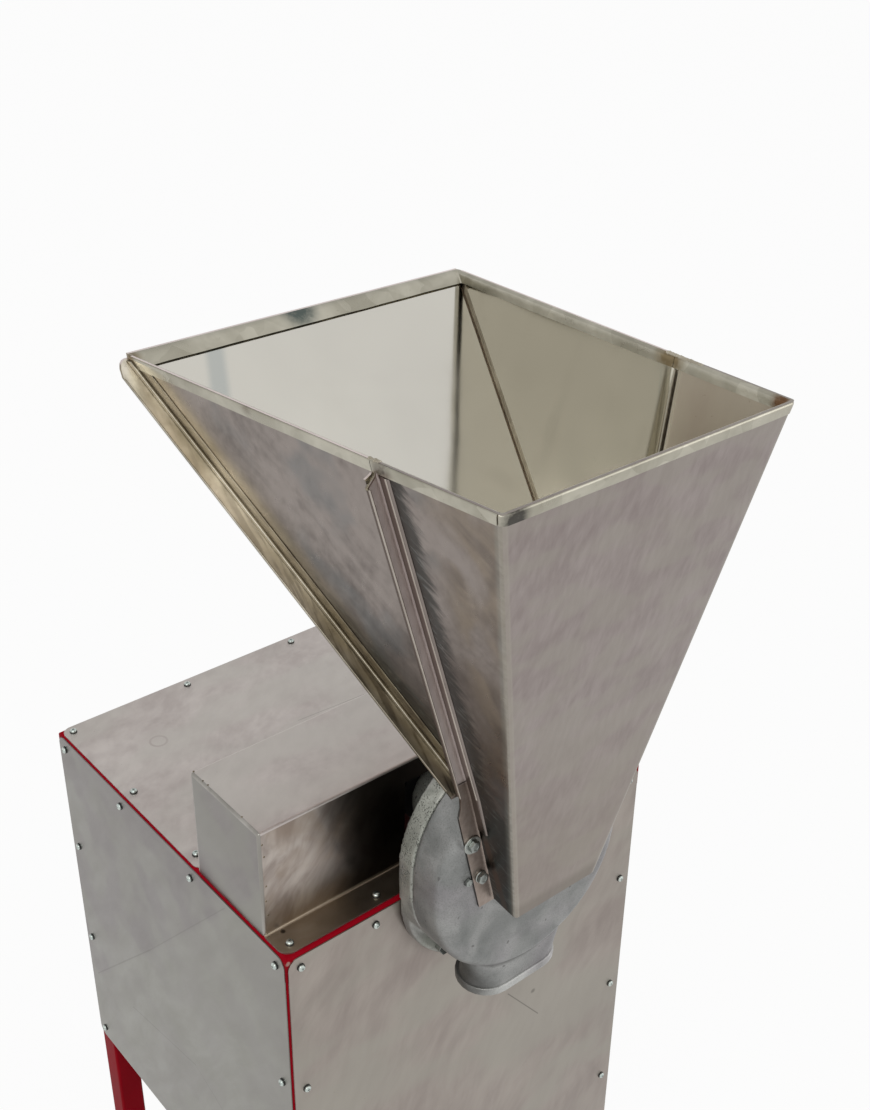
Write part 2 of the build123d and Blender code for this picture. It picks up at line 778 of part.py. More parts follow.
def rear_shell():
    floor_only = (hopper_wall & foot_strip) & wedge(0)
    shell = (hopper_wall & behind_seam) + (hopper_hem & behind_seam) + floor_only
    leaf_outline = seam_outline(foot_rise, rib_top, rib_gap, rib_gap + hopper_sheet)
    shell += strip(leaf_outline, hopper_sheet / 2, rib_width - casting_clearance) - rib_corners()
    lap = strip(rear_band(-hopper_sheet, lap_width), hopper_sheet / 2, 2 * hopper_sheet)
    flange = strip(rear_band(-hopper_sheet, hopper_sheet), hopper_sheet / 2, hopper_sheet + rear_flange)
    lowered = moved_line(*rim_line, rear_flange_drop)
    under_rim = prism([*lowered, (hopper_near, hopper_low), (hopper_far, hopper_low)])
    past_seam = prism(seam_outline(foot_rise, hopper_high, 2 * rib_gap, 2 * hopper_far))
    flange -= slanting_tops(rim_back_reach, rim_back_rise - rear_flange_drop, rear_flange, rear_flange_cut)
    return shell + (lap & behind_seam & hopper_space(3 * hopper_sheet)) + (flange & under_rim & past_seam)


def rear_band(low, high):
    """Outline along the rear wall, from one distance to another above its inner face."""
    under, over = moved_line(*rear_line, low), moved_line(*rear_line, high)
    return [under[0], under[1], over[1], over[0]]


keep("hopper_front_shell", front_shell())
keep("hopper_rear_shell", rear_shell())


def hopper_bolts():
    solids = []
    under = drum_face - hopper_sheet
    for x, z in hopper_spots:
        large = z == max(hopper_bolt_rises)
        seat = under - hopper_washer
        washer = hopper_washer_radius if large else hopper_small_washer_radius
        solids.append(ring(washer, hopper_bolt_radius + bolt_clearance, (seat, under), x, z))
        bolt = hexagon(hopper_bolt_head, (seat - hopper_bolt_head_height, seat), x, z)
        solids.append(bolt + rod(hopper_bolt_radius, (seat, drum_face + hopper_bolt_reach), x, z))
    return group(solids)


def stop_screws():
    proud = drum_face - stop_screw_head_height
    head = [hexagon(stop_screw_head, (proud, drum_face), x, z) for x, z in stop_spots]
    shank = [rod(stop_screw_radius, (drum_face, drum_face + stop_screw_reach), x, z) for x, z in stop_spots]
    return group([top + stem for top, stem in zip(head, shank)])


keep("hopper_bolts", hopper_bolts())
keep("hopper_stop_screws", stop_screws())


# Mill: front casting with its inlet, bolt bosses and spout
def slot_wire(width, depth, y, z):
    """Level outline with round ends."""
    return Pos(0, y, z) * SlotOverall(width, depth)


def spout_core(shrink, low, high):
    """Leaning neck from inside the drum to the lip."""
    top = mill_rise - drum_bore + spout_wall
    lip = mill_rise - spout_drop
    throat = drum_seam - casting_clearance - spout_throat_depth / 2 - spout_wall / 2
    upper = slot_wire(spout_throat_width - 2 * shrink, spout_throat_depth - 2 * shrink, throat, top + high)
    lower = slot_wire(spout_width - 2 * shrink, spout_depth - 2 * shrink, -spout_setback, lip - low)
    return loft([lower, upper])


def front_housing():
    lip = mill_rise - spout_drop
    whole = drum_form((drum_face, drum_seam))
    rim = whole.faces().sort_by(Axis.Y)[0].edges()
    drum = fillet(rim, drum_edge)
    boss_back = drum_face + hopper_bolt_reach + drum_end_wall
    drum = drum + [whole & rod(bolt_boss, (drum_face, boss_back), x, z) for x, z in hopper_spots]
    half = side_x(drum_face, foot_rise)
    ledge_back = drum_face + 2 * drum_end_wall
    ledge_top = foot_rise + 2 * drum_end_wall
    ledge = block((-half, half), (drum_face, ledge_back), (mill_rise + drum_bore, ledge_top))
    drum += ledge - above_ledge()
    neck = spout_core(0, 0, 0)
    flare = 2 * spout_flare
    mouth = extrude(slot_wire(spout_width + flare, spout_depth + flare, -spout_setback, lip), amount=spout_lip)
    keepout = drum_form((drum_seam, 0), casting_clearance)
    body = drum + (neck - keepout) + mouth
    body -= rod(drum_bore, (cavity_front, drum_seam), 0, mill_rise)
    body -= spout_core(spout_wall, spout_lip, spout_wall)
    body -= block(
        (-inlet_width / 2, inlet_width / 2), (drum_face - 1, cavity_front + 1),
        (mill_rise - inlet_below, mill_rise + inlet_above),
    )
    return drill(body, housing_holes + hopper_holes + stop_holes)


def above_ledge():
    """Space taken by the hopper's rear wall and all above it, with a small gap below the wall."""
    under = moved_line(*rear_line, -hopper_sheet - casting_clearance)
    upright = (drum_face - drum_edge, 0), (drum_face - drum_edge, hopper_high)
    return prism([crossing(under, upright), under[1], (drum_face - drum_edge, hopper_high)])


keep("mill_front_housing", front_housing())


def housing_bolts():
    """Socket screws from behind, sunk in the back casting, that hold the front one to it."""
    seat = drum_back - housing_head_sink
    crown = seat + housing_head_height
    stems = (drum_back - housing_bolt_reach + bolt_clearance, seat)
    solids = []
    for x, z in housing_spots:
        screw = rod(housing_head_radius, (seat, crown), x, z) + rod(housing_bolt_radius, stems, x, z)
        solids.append(screw - hexagon(housing_socket, (crown - housing_socket_depth, crown), x, z))
    return group(solids)


keep("housing_bolts", housing_bolts())


def mount_bolts():
    """Upper pair screwed into the flange from behind the rail, lower pair through the plate with nuts."""
    solids = []
    high = mount_bolt_head_height
    for x, z in mount_upper:
        head = hexagon(mount_bolt_head, (tube, tube + high), x, z)
        solids.append(head + rod(mount_bolt_radius, (mount_blind + bolt_clearance, tube), x, z))
    for x, z in mount_lower:
        head = hexagon(mount_bolt_head, (drum_back - high, drum_back), x, z)
        nut = hexagon(mount_bolt_head, (mount_plate, mount_plate + high), x, z)
        solids.append(head + rod(mount_bolt_radius, (drum_back, mount_plate), x, z) + nut)
    return group(solids)


def mount_backing():
    half = mount_plate_width / 2
    return drill(block((-half, half), (0, mount_plate), (-tube - mount_plate_height, -tube)), mount_holes)


keep("mill_mount_bolts", mount_bolts())
keep("mill_mount_plate", mount_backing())


# Bearings, seal and circlip in the hub
def bearing_outer(span):
    middle = (span[0] + span[1]) / 2
    race = (bearing_radius + shaft_radius) / 2
    ball = (bearing_radius - shaft_radius) / 2 - bearing_race / 2
    outer = ring(bearing_radius, bearing_radius - bearing_race, span, 0, mill_rise)
    groove = Pos(0, middle, mill_rise) * Rot(90, 0, 0) * Torus(race, ball + running_clearance)
    step = 360 / bearing_balls
    centre = Pos(0, middle, mill_rise)
    balls = [centre * Rot(0, step * k, 0) * Pos(race, 0, 0) * Sphere(ball) for k in range(bearing_balls)]
    return [outer - groove, *balls]


def bearing_inner(span):
    middle = (span[0] + span[1]) / 2
    race = (bearing_radius + shaft_radius) / 2
    ball = (bearing_radius - shaft_radius) / 2 - bearing_race / 2
    inner = ring(shaft_radius + bearing_race, shaft_radius, span, 0, mill_rise)
    return inner - Pos(0, middle, mill_rise) * Rot(90, 0, 0) * Torus(race, ball + 2 * running_clearance)


seal_front = cavity_back
keep("mill_bearings", group([piece for span in bearing_spans for piece in bearing_outer(span)]))
keep("bearing_inner_races", group([bearing_inner(span) for span in bearing_spans]))
keep("shaft_seal", ring(bearing_radius - bearing_shoulder, shaft_radius + 3 * running_clearance,
                        (seal_front, seal_front + seal_width), 0, mill_rise))
keep("bearing_circlip", ring(bearing_radius + circlip, bearing_radius - circlip, clip_span, 0, mill_rise))


# Rotor
disc_back = cavity_back - rotor_gap
disc_front = disc_back - rotor_disc
hub_front = disc_front - rotor_hub_length
nut_seat = hub_front - rotor_washer
shaft_tip = nut_seat - rotor_nut_height
shaft_tail = pulley_back


def key_bar(span, radius):
    """Key half sunk in a shaft of this radius, on its upper side."""
    half = key_width / 2
    return block((-half, half), span, (radius - key_depth, radius + key_height))


rotor_key = Pos(0, 0, mill_rise) * key_bar((hub_front, disc_back), shaft_radius)
mill_pulley_key = Pos(0, 0, mill_rise) * key_bar((pulley_front, pulley_back), shaft_radius)


def mill_shaft():
    shaft = rod(shaft_radius, (hub_front, shaft_tail), 0, mill_rise)
    shaft += rod(shaft_thread_radius, (shaft_tip, hub_front), 0, mill_rise)
    shaft -= rod(pulley_bolt_radius, (shaft_tail - pulley_bolt_length, shaft_tail), 0, mill_rise)
    return shaft - [rotor_key, mill_pulley_key]


def rotor_plate():
    disc = ring(rotor_radius, shaft_radius, (disc_front, disc_back), 0, mill_rise)
    disc += ring(rotor_hub_radius, shaft_radius, (hub_front, disc_front), 0, mill_rise)
    return disc - rotor_key


def beaters():
    reach = sieve_radius - beater_tip_gap
    half = beater_thick / 2
    plate = block((beater_inner, reach), (disc_front - beater_reach, disc_front), (-half, half))
    step = 360 / beater_count
    return group([Pos(0, 0, mill_rise) * Rot(0, step * k, 0) * plate for k in range(beater_count)])


def rotor_nut():
    washer = ring(rotor_hub_radius, shaft_thread_radius, (nut_seat, hub_front), 0, mill_rise)
    nut = hexagon(rotor_nut_radius, (shaft_tip, nut_seat), 0, mill_rise)
    return group([washer, nut - rod(shaft_thread_radius, (shaft_tip, nut_seat), 0, mill_rise)])


keep("mill_shaft", mill_shaft())
keep("rotor_disc", rotor_plate())
keep("rotor_beaters", beaters())
keep("rotor_nut", rotor_nut())
keep("mill_keys", group([rotor_key, mill_pulley_key]))


# Belt drive
belt_out = belt_height / 3
belt_in = belt_height - belt_out
foot_half = belt_width / 2 - belt_height * math.tan(math.radians(belt_angle))


def groove(pitch):
    """Ring that a pulley's groove clears, wider than the belt by the clearance."""
    wide = belt_width / 2 + belt_clearance
    narrow = foot_half + belt_clearance
    outer, inner = pitch + belt_out, pitch - belt_in - belt_clearance
    slope = (wide - narrow) / belt_height
    beyond = 2 * pulley_rim
    reach, mouth = outer + beyond, wide + slope * beyond
    outline = [(inner, -narrow), (inner, narrow), (reach, mouth), (reach, -mouth)]
    return revolve(make_face(Polyline(*outline, close=True)), Axis.Y)


def pulley(pitch, bore, key, z):
    outer = pitch + belt_out
    wheel = ring(outer, bore, (pulley_front, pulley_back), 0, z)
    wheel -= Pos(0, belt_y, z) * groove(pitch)
    return wheel - key


def belt_loop(big, small, y):
    """Closed outline round both pulleys, as a wire at one depth."""
    gap = mill_rise - motor_axis
    lean = math.asin((big - small) / gap)
    cos, sin = math.cos(lean), math.sin(lean)
    low, high = motor_axis + big * sin, mill_rise + small * sin
    low_right, low_left = (big * cos, y, low), (-big * cos, y, low)
    top_right, top_left = (small * cos, y, high), (-small * cos, y, high)
    base = ThreePointArc(low_left, (0, y, motor_axis - big), low_right)
    crown = ThreePointArc(top_right, (0, y, mill_rise + small), top_left)
    return Wire([base, Line(low_right, top_right), crown, Line(top_left, low_left)])


def drive_belt():
    loops = []
    for side, half in ((-1, belt_width / 2), (-1, foot_half), (1, foot_half), (1, belt_width / 2)):
        shift = belt_out if half == belt_width / 2 else -belt_in
        loops.append(belt_loop(motor_pitch_radius + shift, mill_pitch_radius + shift, belt_y + side * half))
    outside = Solid.make_loft([
        belt_loop(motor_pitch_radius + belt_out, mill_pitch_radius + belt_out, belt_y + side * belt_width / 2)
        for side in (-1, 1)
    ])
    cuts = [Solid.make_loft([loops[k], loops[k + 1]]) for k in range(3)]
    return outside - cuts


keep("drive_belt", drive_belt())
keep("mill_pulley", pulley(mill_pitch_radius, shaft_radius, mill_pulley_key, mill_rise))
bolt_seat = pulley_back + pulley_washer
pulley_bolt_washer = ring(pulley_washer_radius, pulley_bolt_radius, (pulley_back, bolt_seat), 0, mill_rise)
pulley_bolt = rod(pulley_bolt_radius, (shaft_tail - pulley_bolt_length, bolt_seat), 0, mill_rise)
pulley_bolt += hexagon(pulley_bolt_head, (bolt_seat, bolt_seat + pulley_bolt_head_height), 0, mill_rise)
keep("mill_pulley_bolt", group([pulley_bolt_washer, pulley_bolt]))


# Motor
def motor_frame():
    span = (motor_body_front, motor_body_back)
    body = rod(motor_radius, span, 0, motor_axis)
    half = motor_fin_width / 2
    fin = block((motor_radius - half, motor_radius + motor_fin_height), span, (-half, half))
    step = 360 / motor_fins
    fins = [Pos(0, 0, motor_axis) * Rot(0, step * k, 0) * fin for k in range(motor_fins)]
    body = body + fins
    first = (motor_rows[0] + motor_rows[1] - motor_foot_length) / 2
    along = (first, first + motor_foot_length)
    for side in (-1, 1):
        middle = side * motor_foot_gauge / 2
        across = (middle - motor_foot_width / 2, middle + motor_foot_width / 2)
        body += block(across, along, (motor_seat, motor_seat + motor_foot_thick))
        web = sorted((side * motor_radius / 2, side * (motor_foot_gauge - motor_foot_width) / 2))
        body += block(tuple(web), along, (motor_seat, motor_axis))
    half = terminal_width / 2 - terminal_bite
    middle = (motor_rows[0] + motor_rows[1]) / 2
    pad = (middle - terminal_length / 2 + terminal_bite, middle + terminal_length / 2 - terminal_bite)
    body += block((-half, half), pad, (motor_axis, terminal_seat))
    body -= rod(motor_bore, span, 0, motor_axis)
    room = motor_rod(2 * motor_bolt_head, motor_seat + motor_foot_thick, motor_axis)
    return drill(body, motor_holes + room)


def shield(span):
    disc = ring(motor_radius, bearing_radius, span, 0, motor_axis)
    return disc


motor_shields = [(motor_face, motor_body_front), (motor_body_back, motor_tail)]
motor_nose = motor_face - motor_shaft_reach
fan_back = motor_tail + fan_space - 4 * fan_cover_sheet
motor_key = Pos(0, 0, motor_axis) * key_bar((pulley_front, pulley_back), shaft_radius)


def motor_shaft():
    shaft = rod(shaft_radius, (motor_nose, fan_back), 0, motor_axis)
    span = (motor_body_front + motor_shield, motor_body_back - motor_shield)
    core = rod(motor_bore - motor_air_gap, span, 0, motor_axis)
    return shaft + core - motor_key


def motor_fan():
    near, far = motor_tail + 4 * fan_cover_sheet, fan_back
    fan = ring(2 * shaft_radius, shaft_radius, (near, far), 0, motor_axis)
    fan += ring(fan_radius, shaft_radius, (near, near + fan_blade), 0, motor_axis)
    blade = block((2 * shaft_radius - 1, fan_radius), (near, far), (-fan_blade / 2, fan_blade / 2))
    step = 360 / fan_blades
    return fan + [Pos(0, 0, motor_axis) * Rot(0, step * k, 0) * blade for k in range(fan_blades)]


def fan_cover():
    """Sheet cup over the fan, slotted at its end."""
    back = motor_tail + fan_space
    cup = ring(motor_radius + fan_cover_sheet, motor_radius, (motor_body_back, back), 0, motor_axis)
    cup += rod(motor_radius + fan_cover_sheet, (back, back + fan_cover_sheet), 0, motor_axis)
    half = fan_slot_width / 2
    slot = block((2 * shaft_radius, fan_radius), (back - 1, back + 2 * fan_cover_sheet), (-half, half))
    step = 360 / fan_cover_slots
    return cup - [Pos(0, 0, motor_axis) * Rot(0, step * k, 0) * slot for k in range(fan_cover_slots)]


def terminal_box():
    middle = (motor_rows[0] + motor_rows[1]) / 2
    wall = terminal_wall
    span = (middle - terminal_length / 2, middle + terminal_length / 2)
    half = terminal_width / 2
    top = terminal_seat + terminal_height
    box = block((-half, half), span, (terminal_seat, top))
    inside = (-half + wall, half - wall), (span[0] + wall, span[1] - wall), (terminal_seat + wall, top - wall)
    return box - block(*inside)


def motor_bolts():
    heads = motor_seat + motor_foot_thick
    solids = []
    for x, y in motor_spots:
        hexes = RegularPolygon(motor_bolt_head, 6, major_radius=False)
        head = Pos(x, y, heads) * extrude(hexes, amount=motor_bolt_head_height)
        nut = Pos(x, y, panel_foot - motor_bolt_head_height) * extrude(hexes, amount=motor_bolt_head_height)
        stem = Pos(x, y, (heads + panel_foot) / 2) * Cylinder(motor_bolt_radius, heads - panel_foot)
        solids.append(head + stem + nut)
    return group(solids)


keep("motor_frame", motor_frame())
keep("motor_end_shields", group([shield(span) for span in motor_shields]))
motor_bearing_bore = shaft_radius + running_clearance
motor_bearings = [ring(bearing_radius, motor_bearing_bore, span, 0, motor_axis) for span in motor_shields]
keep("motor_bearings", group(motor_bearings))
keep("motor_shaft", motor_shaft())
keep("motor_fan", motor_fan())
keep("motor_fan_cover", fan_cover())
keep("motor_terminal_box", terminal_box())
keep("motor_bolts", motor_bolts())
keep("motor_pulley", pulley(motor_pitch_radius, shaft_radius, motor_key, motor_axis))
keep("motor_key", motor_key)


# Starter on the back panel
starter_front = cabinet_depth + panel_sheet
cover_front = starter_back - starter_cover
starter_top = -starter_drop
gland_y = (starter_front + cover_front) / 2
starter_middle = starter_top - starter_height / 2
button_spots = {"start": starter_middle + button_spacing / 2, "stop": starter_middle - button_spacing / 2}


def starter_shape(span, shrink):
    """Upright box with rounded edges between two depths."""
    width, height = starter_width - 2 * shrink, starter_height - 2 * shrink
    face = RectangleRounded(width, height, starter_corner - shrink)
    low, high = span
    return Pos(starter_x, high, starter_middle) * Rot(90, 0, 0) * extrude(face, amount=high - low)


def starter_box():
    box = starter_shape((starter_front, cover_front), 0)
    box -= starter_shape((starter_front + starter_wall, cover_front), starter_wall)
    entry = Pos(starter_x, gland_y, starter_top - starter_height) * Cylinder(gland_thread, 4 * starter_wall)
    return box - entry


def starter_lid():
    lid = starter_shape((cover_front, starter_back), 0)
    for z in button_spots.values():
        lid -= rod(button_radius + button_clearance, (cover_front - 1, starter_back + 1), starter_x, z)
    return lid


def button(z, proud):
    """Cap through the lid, with a flange behind it that stops it from coming out."""
    cap = rod(button_radius, (cover_front - button_flange, starter_back + proud), starter_x, z)
    crown = cap.edges().sort_by(Axis.Y)[-1]
    cap = fillet(crown, proud / 4)
    flange_back = cover_front - button_clearance
    return cap + rod(button_radius + button_flange, (flange_back - button_flange, flange_back), starter_x, z)


def gland():
    """Cable gland below the starter box, threaded through its wall."""
    low = starter_top - starter_height
    hexes = RegularPolygon(gland_radius, 6, major_radius=False)
    nut = Pos(starter_x, gland_y, low - gland_length) * extrude(hexes, amount=gland_length)
    thread = Circle(gland_thread - bolt_clearance)
    stem = Pos(starter_x, gland_y, low) * extrude(thread, amount=2 * starter_wall)
    bore = Pos(starter_x, gland_y, low) * Cylinder(gland_bore, 4 * gland_length)
    return nut + stem - bore


keep("starter_box", starter_box())
keep("starter_cover", starter_lid())
keep("start_button", button(button_spots["start"], start_proud))
keep("stop_button", button(button_spots["stop"], stop_proud))
keep("starter_gland", gland())

print("front face of the frame at y", round(front_y, 3), "mill axis z", round(cabinet_top + mill_rise, 3))
print("motor axis z", round(cabinet_top + motor_axis, 3))
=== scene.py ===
"""Looks of the sugar grinder: ground sheet, sand castings, red enamel and zinc screws. Metres throughout."""
import json
import math

import bmesh
import bpy
from mathutils import Matrix, Vector, noise

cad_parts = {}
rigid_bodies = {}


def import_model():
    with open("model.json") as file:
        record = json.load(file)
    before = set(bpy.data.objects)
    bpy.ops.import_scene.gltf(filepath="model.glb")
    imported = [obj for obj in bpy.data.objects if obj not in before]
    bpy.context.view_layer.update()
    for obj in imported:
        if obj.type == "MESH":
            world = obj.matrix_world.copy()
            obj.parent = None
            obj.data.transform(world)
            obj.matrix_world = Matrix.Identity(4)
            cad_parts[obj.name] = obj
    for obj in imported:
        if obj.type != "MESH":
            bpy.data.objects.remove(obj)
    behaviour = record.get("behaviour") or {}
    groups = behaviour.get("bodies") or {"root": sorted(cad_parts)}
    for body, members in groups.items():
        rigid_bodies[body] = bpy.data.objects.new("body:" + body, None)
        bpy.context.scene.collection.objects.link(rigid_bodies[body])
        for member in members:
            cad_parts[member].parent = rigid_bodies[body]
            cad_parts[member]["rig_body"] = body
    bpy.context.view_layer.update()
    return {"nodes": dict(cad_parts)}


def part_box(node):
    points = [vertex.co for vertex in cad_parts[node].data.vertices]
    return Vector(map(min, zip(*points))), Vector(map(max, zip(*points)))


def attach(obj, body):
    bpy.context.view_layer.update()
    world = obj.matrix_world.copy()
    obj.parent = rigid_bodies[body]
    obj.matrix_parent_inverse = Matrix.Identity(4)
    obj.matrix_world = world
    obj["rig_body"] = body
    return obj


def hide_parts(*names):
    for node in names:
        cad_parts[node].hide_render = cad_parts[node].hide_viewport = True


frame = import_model()

mm = 0.001

# Cabinet corner that the other places are measured from: middle of the front edge of the frame's top
front_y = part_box("leg_front_left")[0].y
cabinet_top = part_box("top_rail_front")[1].z
origin = Vector((0.0, front_y, cabinet_top))
cabinet_middle = (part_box("leg_front_left")[0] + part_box("leg_back_right")[1]) / 2

# Hopper sizes, to the inner faces of the sheet
hopper_sheet = 2.0 * mm
rim_front_half = 150.5 * mm
rim_front_reach = 178.0 * mm
rim_front_rise = 495.0 * mm
rim_back_half = 184.0 * mm
rim_back_reach = 261.5 * mm
rim_back_rise = 478.5 * mm
chute_half = 48.5 * mm
chute_reach = 105.0 * mm
chute_rise = 27.0 * mm
chute_tail_rise = 36.0 * mm
foot_rise = 166.5 * mm
seam_top_reach = 55.0 * mm
drum_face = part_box("mill_front_housing")[0].y - front_y
mill_rise = 47.5 * mm
drum_below = 11.0 * mm
hem_height = 10.0 * mm
hem_sheet = 1.4 * mm
hem_stand = 2.4 * mm
joint_gap = 5.0 * mm
hem_corner = 4.0 * mm
hem_slit = 0.5 * mm
hem_front_steps = 36
hem_back_steps = 40
hem_front_flank_steps = 24
hem_back_flank_steps = 36
hem_sway = 0.5 * mm
hem_sway_in = 0.35 * mm
hem_sway_length = 38.0 * mm
rib_width = 11.0 * mm
rib_foot_width = 17.0 * mm
rib_step = 10.0 * mm
rib_gap = 3.5 * mm
rib_drop = 0.5 * mm
rib_cut = 10.0 * mm
bead_width = 11.0 * mm
bead_height = 2.5 * mm
bead_foot = 124.0 * mm
trim_steps = 40
trim_foot_steps = 6
fold_radius = 3.0 * mm
lap_width = 16.0 * mm
rear_flange = 16.0 * mm
rear_flange_drop = 3.0 * mm
rear_flange_cut = 12.0 * mm
sheet_wave = 0.7 * mm
wave_length = 110.0 * mm

# Guard sizes
guard_low, guard_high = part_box("belt_guard")
guard_sheet = 1.5 * mm
guard_bend = 2.5 * mm
guard_end_round = 2.6 * mm
guard_end_joint = 0.08 * mm
guard_front = 36.0 * mm
guard_lip_corner = 11.0 * mm
guard_window_half = 63.0 * mm
guard_window_low = 6.0 * mm
guard_window_high = 95.0 * mm

# Screws and bolts
screw_head_radius = 3.5 * mm
screw_head_height = 2.6 * mm
screw_shank_radius = 1.75 * mm
screw_tip = 1.5 * mm
screw_reach = 9.0 * mm
seal_radius = 4.0 * mm
seal_hole = 1.5 * mm
seal_height = 0.9 * mm
bolt_head_flat = 5.0 * mm
bolt_head_height = 4.0 * mm
bolt_radius = 3.0 * mm
bolt_reach = 12.0 * mm
washer_play = 0.2 * mm
washer_thick = 1.6 * mm
washer_thickest = 4.0 * mm
stop_head_flat = 3.5 * mm
stop_head_height = 3.0 * mm
stop_radius = 2.0 * mm
stop_reach = 6.0 * mm

# Welds: radius of each bead, and shares of it
rib_weld = 1.7 * mm
hem_weld = 2.3 * mm
rail_weld = 2.2 * mm
weld_pitch = 0.8
weld_thick = 0.75
weld_unevenness = 0.4
tack_radius = 1.0 * mm
tack_height = 0.45 * mm
leg_weld_round = 4.2 * mm
leg_weld_proud = 0.15 * mm
leg_half = 15.0 * mm

# Broken edges
sheet_edge = 0.35 * mm
bolt_edge = 0.4 * mm
button_edge = 0.7 * mm
lid_edge = 1.0 * mm
box_edge = 1.2 * mm

# Castings
cast_grain = 1.9 * mm
cast_lump = 0.22 * mm
cast_lump_length = 11.0 * mm
cast_lump_fine = 4.5 * mm
spout_lip_low = -109.0 * mm
spout_lip_height = 9.0 * mm
spout_half = 54.0 * mm
spout_deep = 29.0 * mm
spout_setback = 43.0 * mm
lip_inset = 4.5 * mm
lip_proud = 0.9 * mm
lip_round = 2.6 * mm
lip_steps = 12

# Angles in degrees at which an edge counts as sharp, and within which faces count as one
sharp_from = 32.0
bent_sharp_from = 40.0
trim_sharp_from = 50.0
flat_within = 0.4

# Distances within which points count as one, and the radius that turned shapes keep at their axis
same_point = 0.001 * mm
same_cad_point = 0.002 * mm
same_ripple_point = 0.03 * mm
same_turned_point = 0.05 * mm
needle = 0.01 * mm

# Camera, as the photograph was taken
image_height = 1110
focal_pixels = 1431.64
sensor = 36.0
camera_place = Vector((-0.7160, -0.9433, 1.6837))
camera_right = Vector((0.77074, -0.63707, 0.00963))
camera_down = Vector((-0.30775, -0.38548, -0.86988))
camera_forward = Vector((0.55789, 0.66749, -0.49317))


# Node trees
class Wire:
    """One output of a node tree; arithmetic on it adds Math nodes."""

    def __init__(self, tree, socket):
        self.tree = tree
        self.socket = socket

    def math(self, operation, *values):
        return self.tree.node("ShaderNodeMath", {"operation": operation}, dict(enumerate(values)))

    def __add__(self, other):
        return self.math("ADD", self, other)

    def __sub__(self, other):
        return self.math("SUBTRACT", self, other)

    def __rsub__(self, other):
        return self.math("SUBTRACT", other, self)

    def __mul__(self, other):
        return self.math("MULTIPLY", self, other)

    def __truediv__(self, other):
        return self.math("DIVIDE", self, other)

    def __neg__(self):
        return self.math("MULTIPLY", self, -1.0)

    __radd__ = __add__
    __rmul__ = __mul__

    def size(self):
        return self.math("ABSOLUTE", self)

    def least(self, other):
        return self.math("MINIMUM", self, other)

    def most(self, other):
        return self.math("MAXIMUM", self, other)

    def between(self, low, high):
        """Smooth step from 0 at the first value to 1 at the second, which may be the lower one."""
        flip = low > high
        values = {"Value": self, "From Min": min(low, high), "From Max": max(low, high)}
        step = self.tree.node("ShaderNodeMapRange", {"interpolation_type": "SMOOTHSTEP"}, values)
        return 1 - step if flip else step

    def part(self, name):
        """Another output of the same node."""
        return Wire(self.tree, self.socket.node.outputs[name])


class Tree:
    """Node tree with one way to add any node."""

    def __init__(self, tree):
        self.tree = tree

    def node(self, kind, settings=None, inputs=None, output=0):
        made = self.tree.nodes.new(kind)
        for name, value in (settings or {}).items():
            setattr(made, name, value)
        for name, value in (inputs or {}).items():
            self.feed(made.inputs[name], value)
        return Wire(self, made.outputs[output] if len(made.outputs) else None)

    def feed(self, socket, value):
        if isinstance(value, Wire):
            self.tree.links.new(value.socket, socket)
        else:
            socket.default_value = value


def linear(levels):
    """Linear colour of an sRGB triple, opaque."""
    parts = [(c / 255 / 12.92) if c <= 10 else ((c / 255 + 0.055) / 1.055) ** 2.4 for c in levels]
    return (*parts, 1.0)


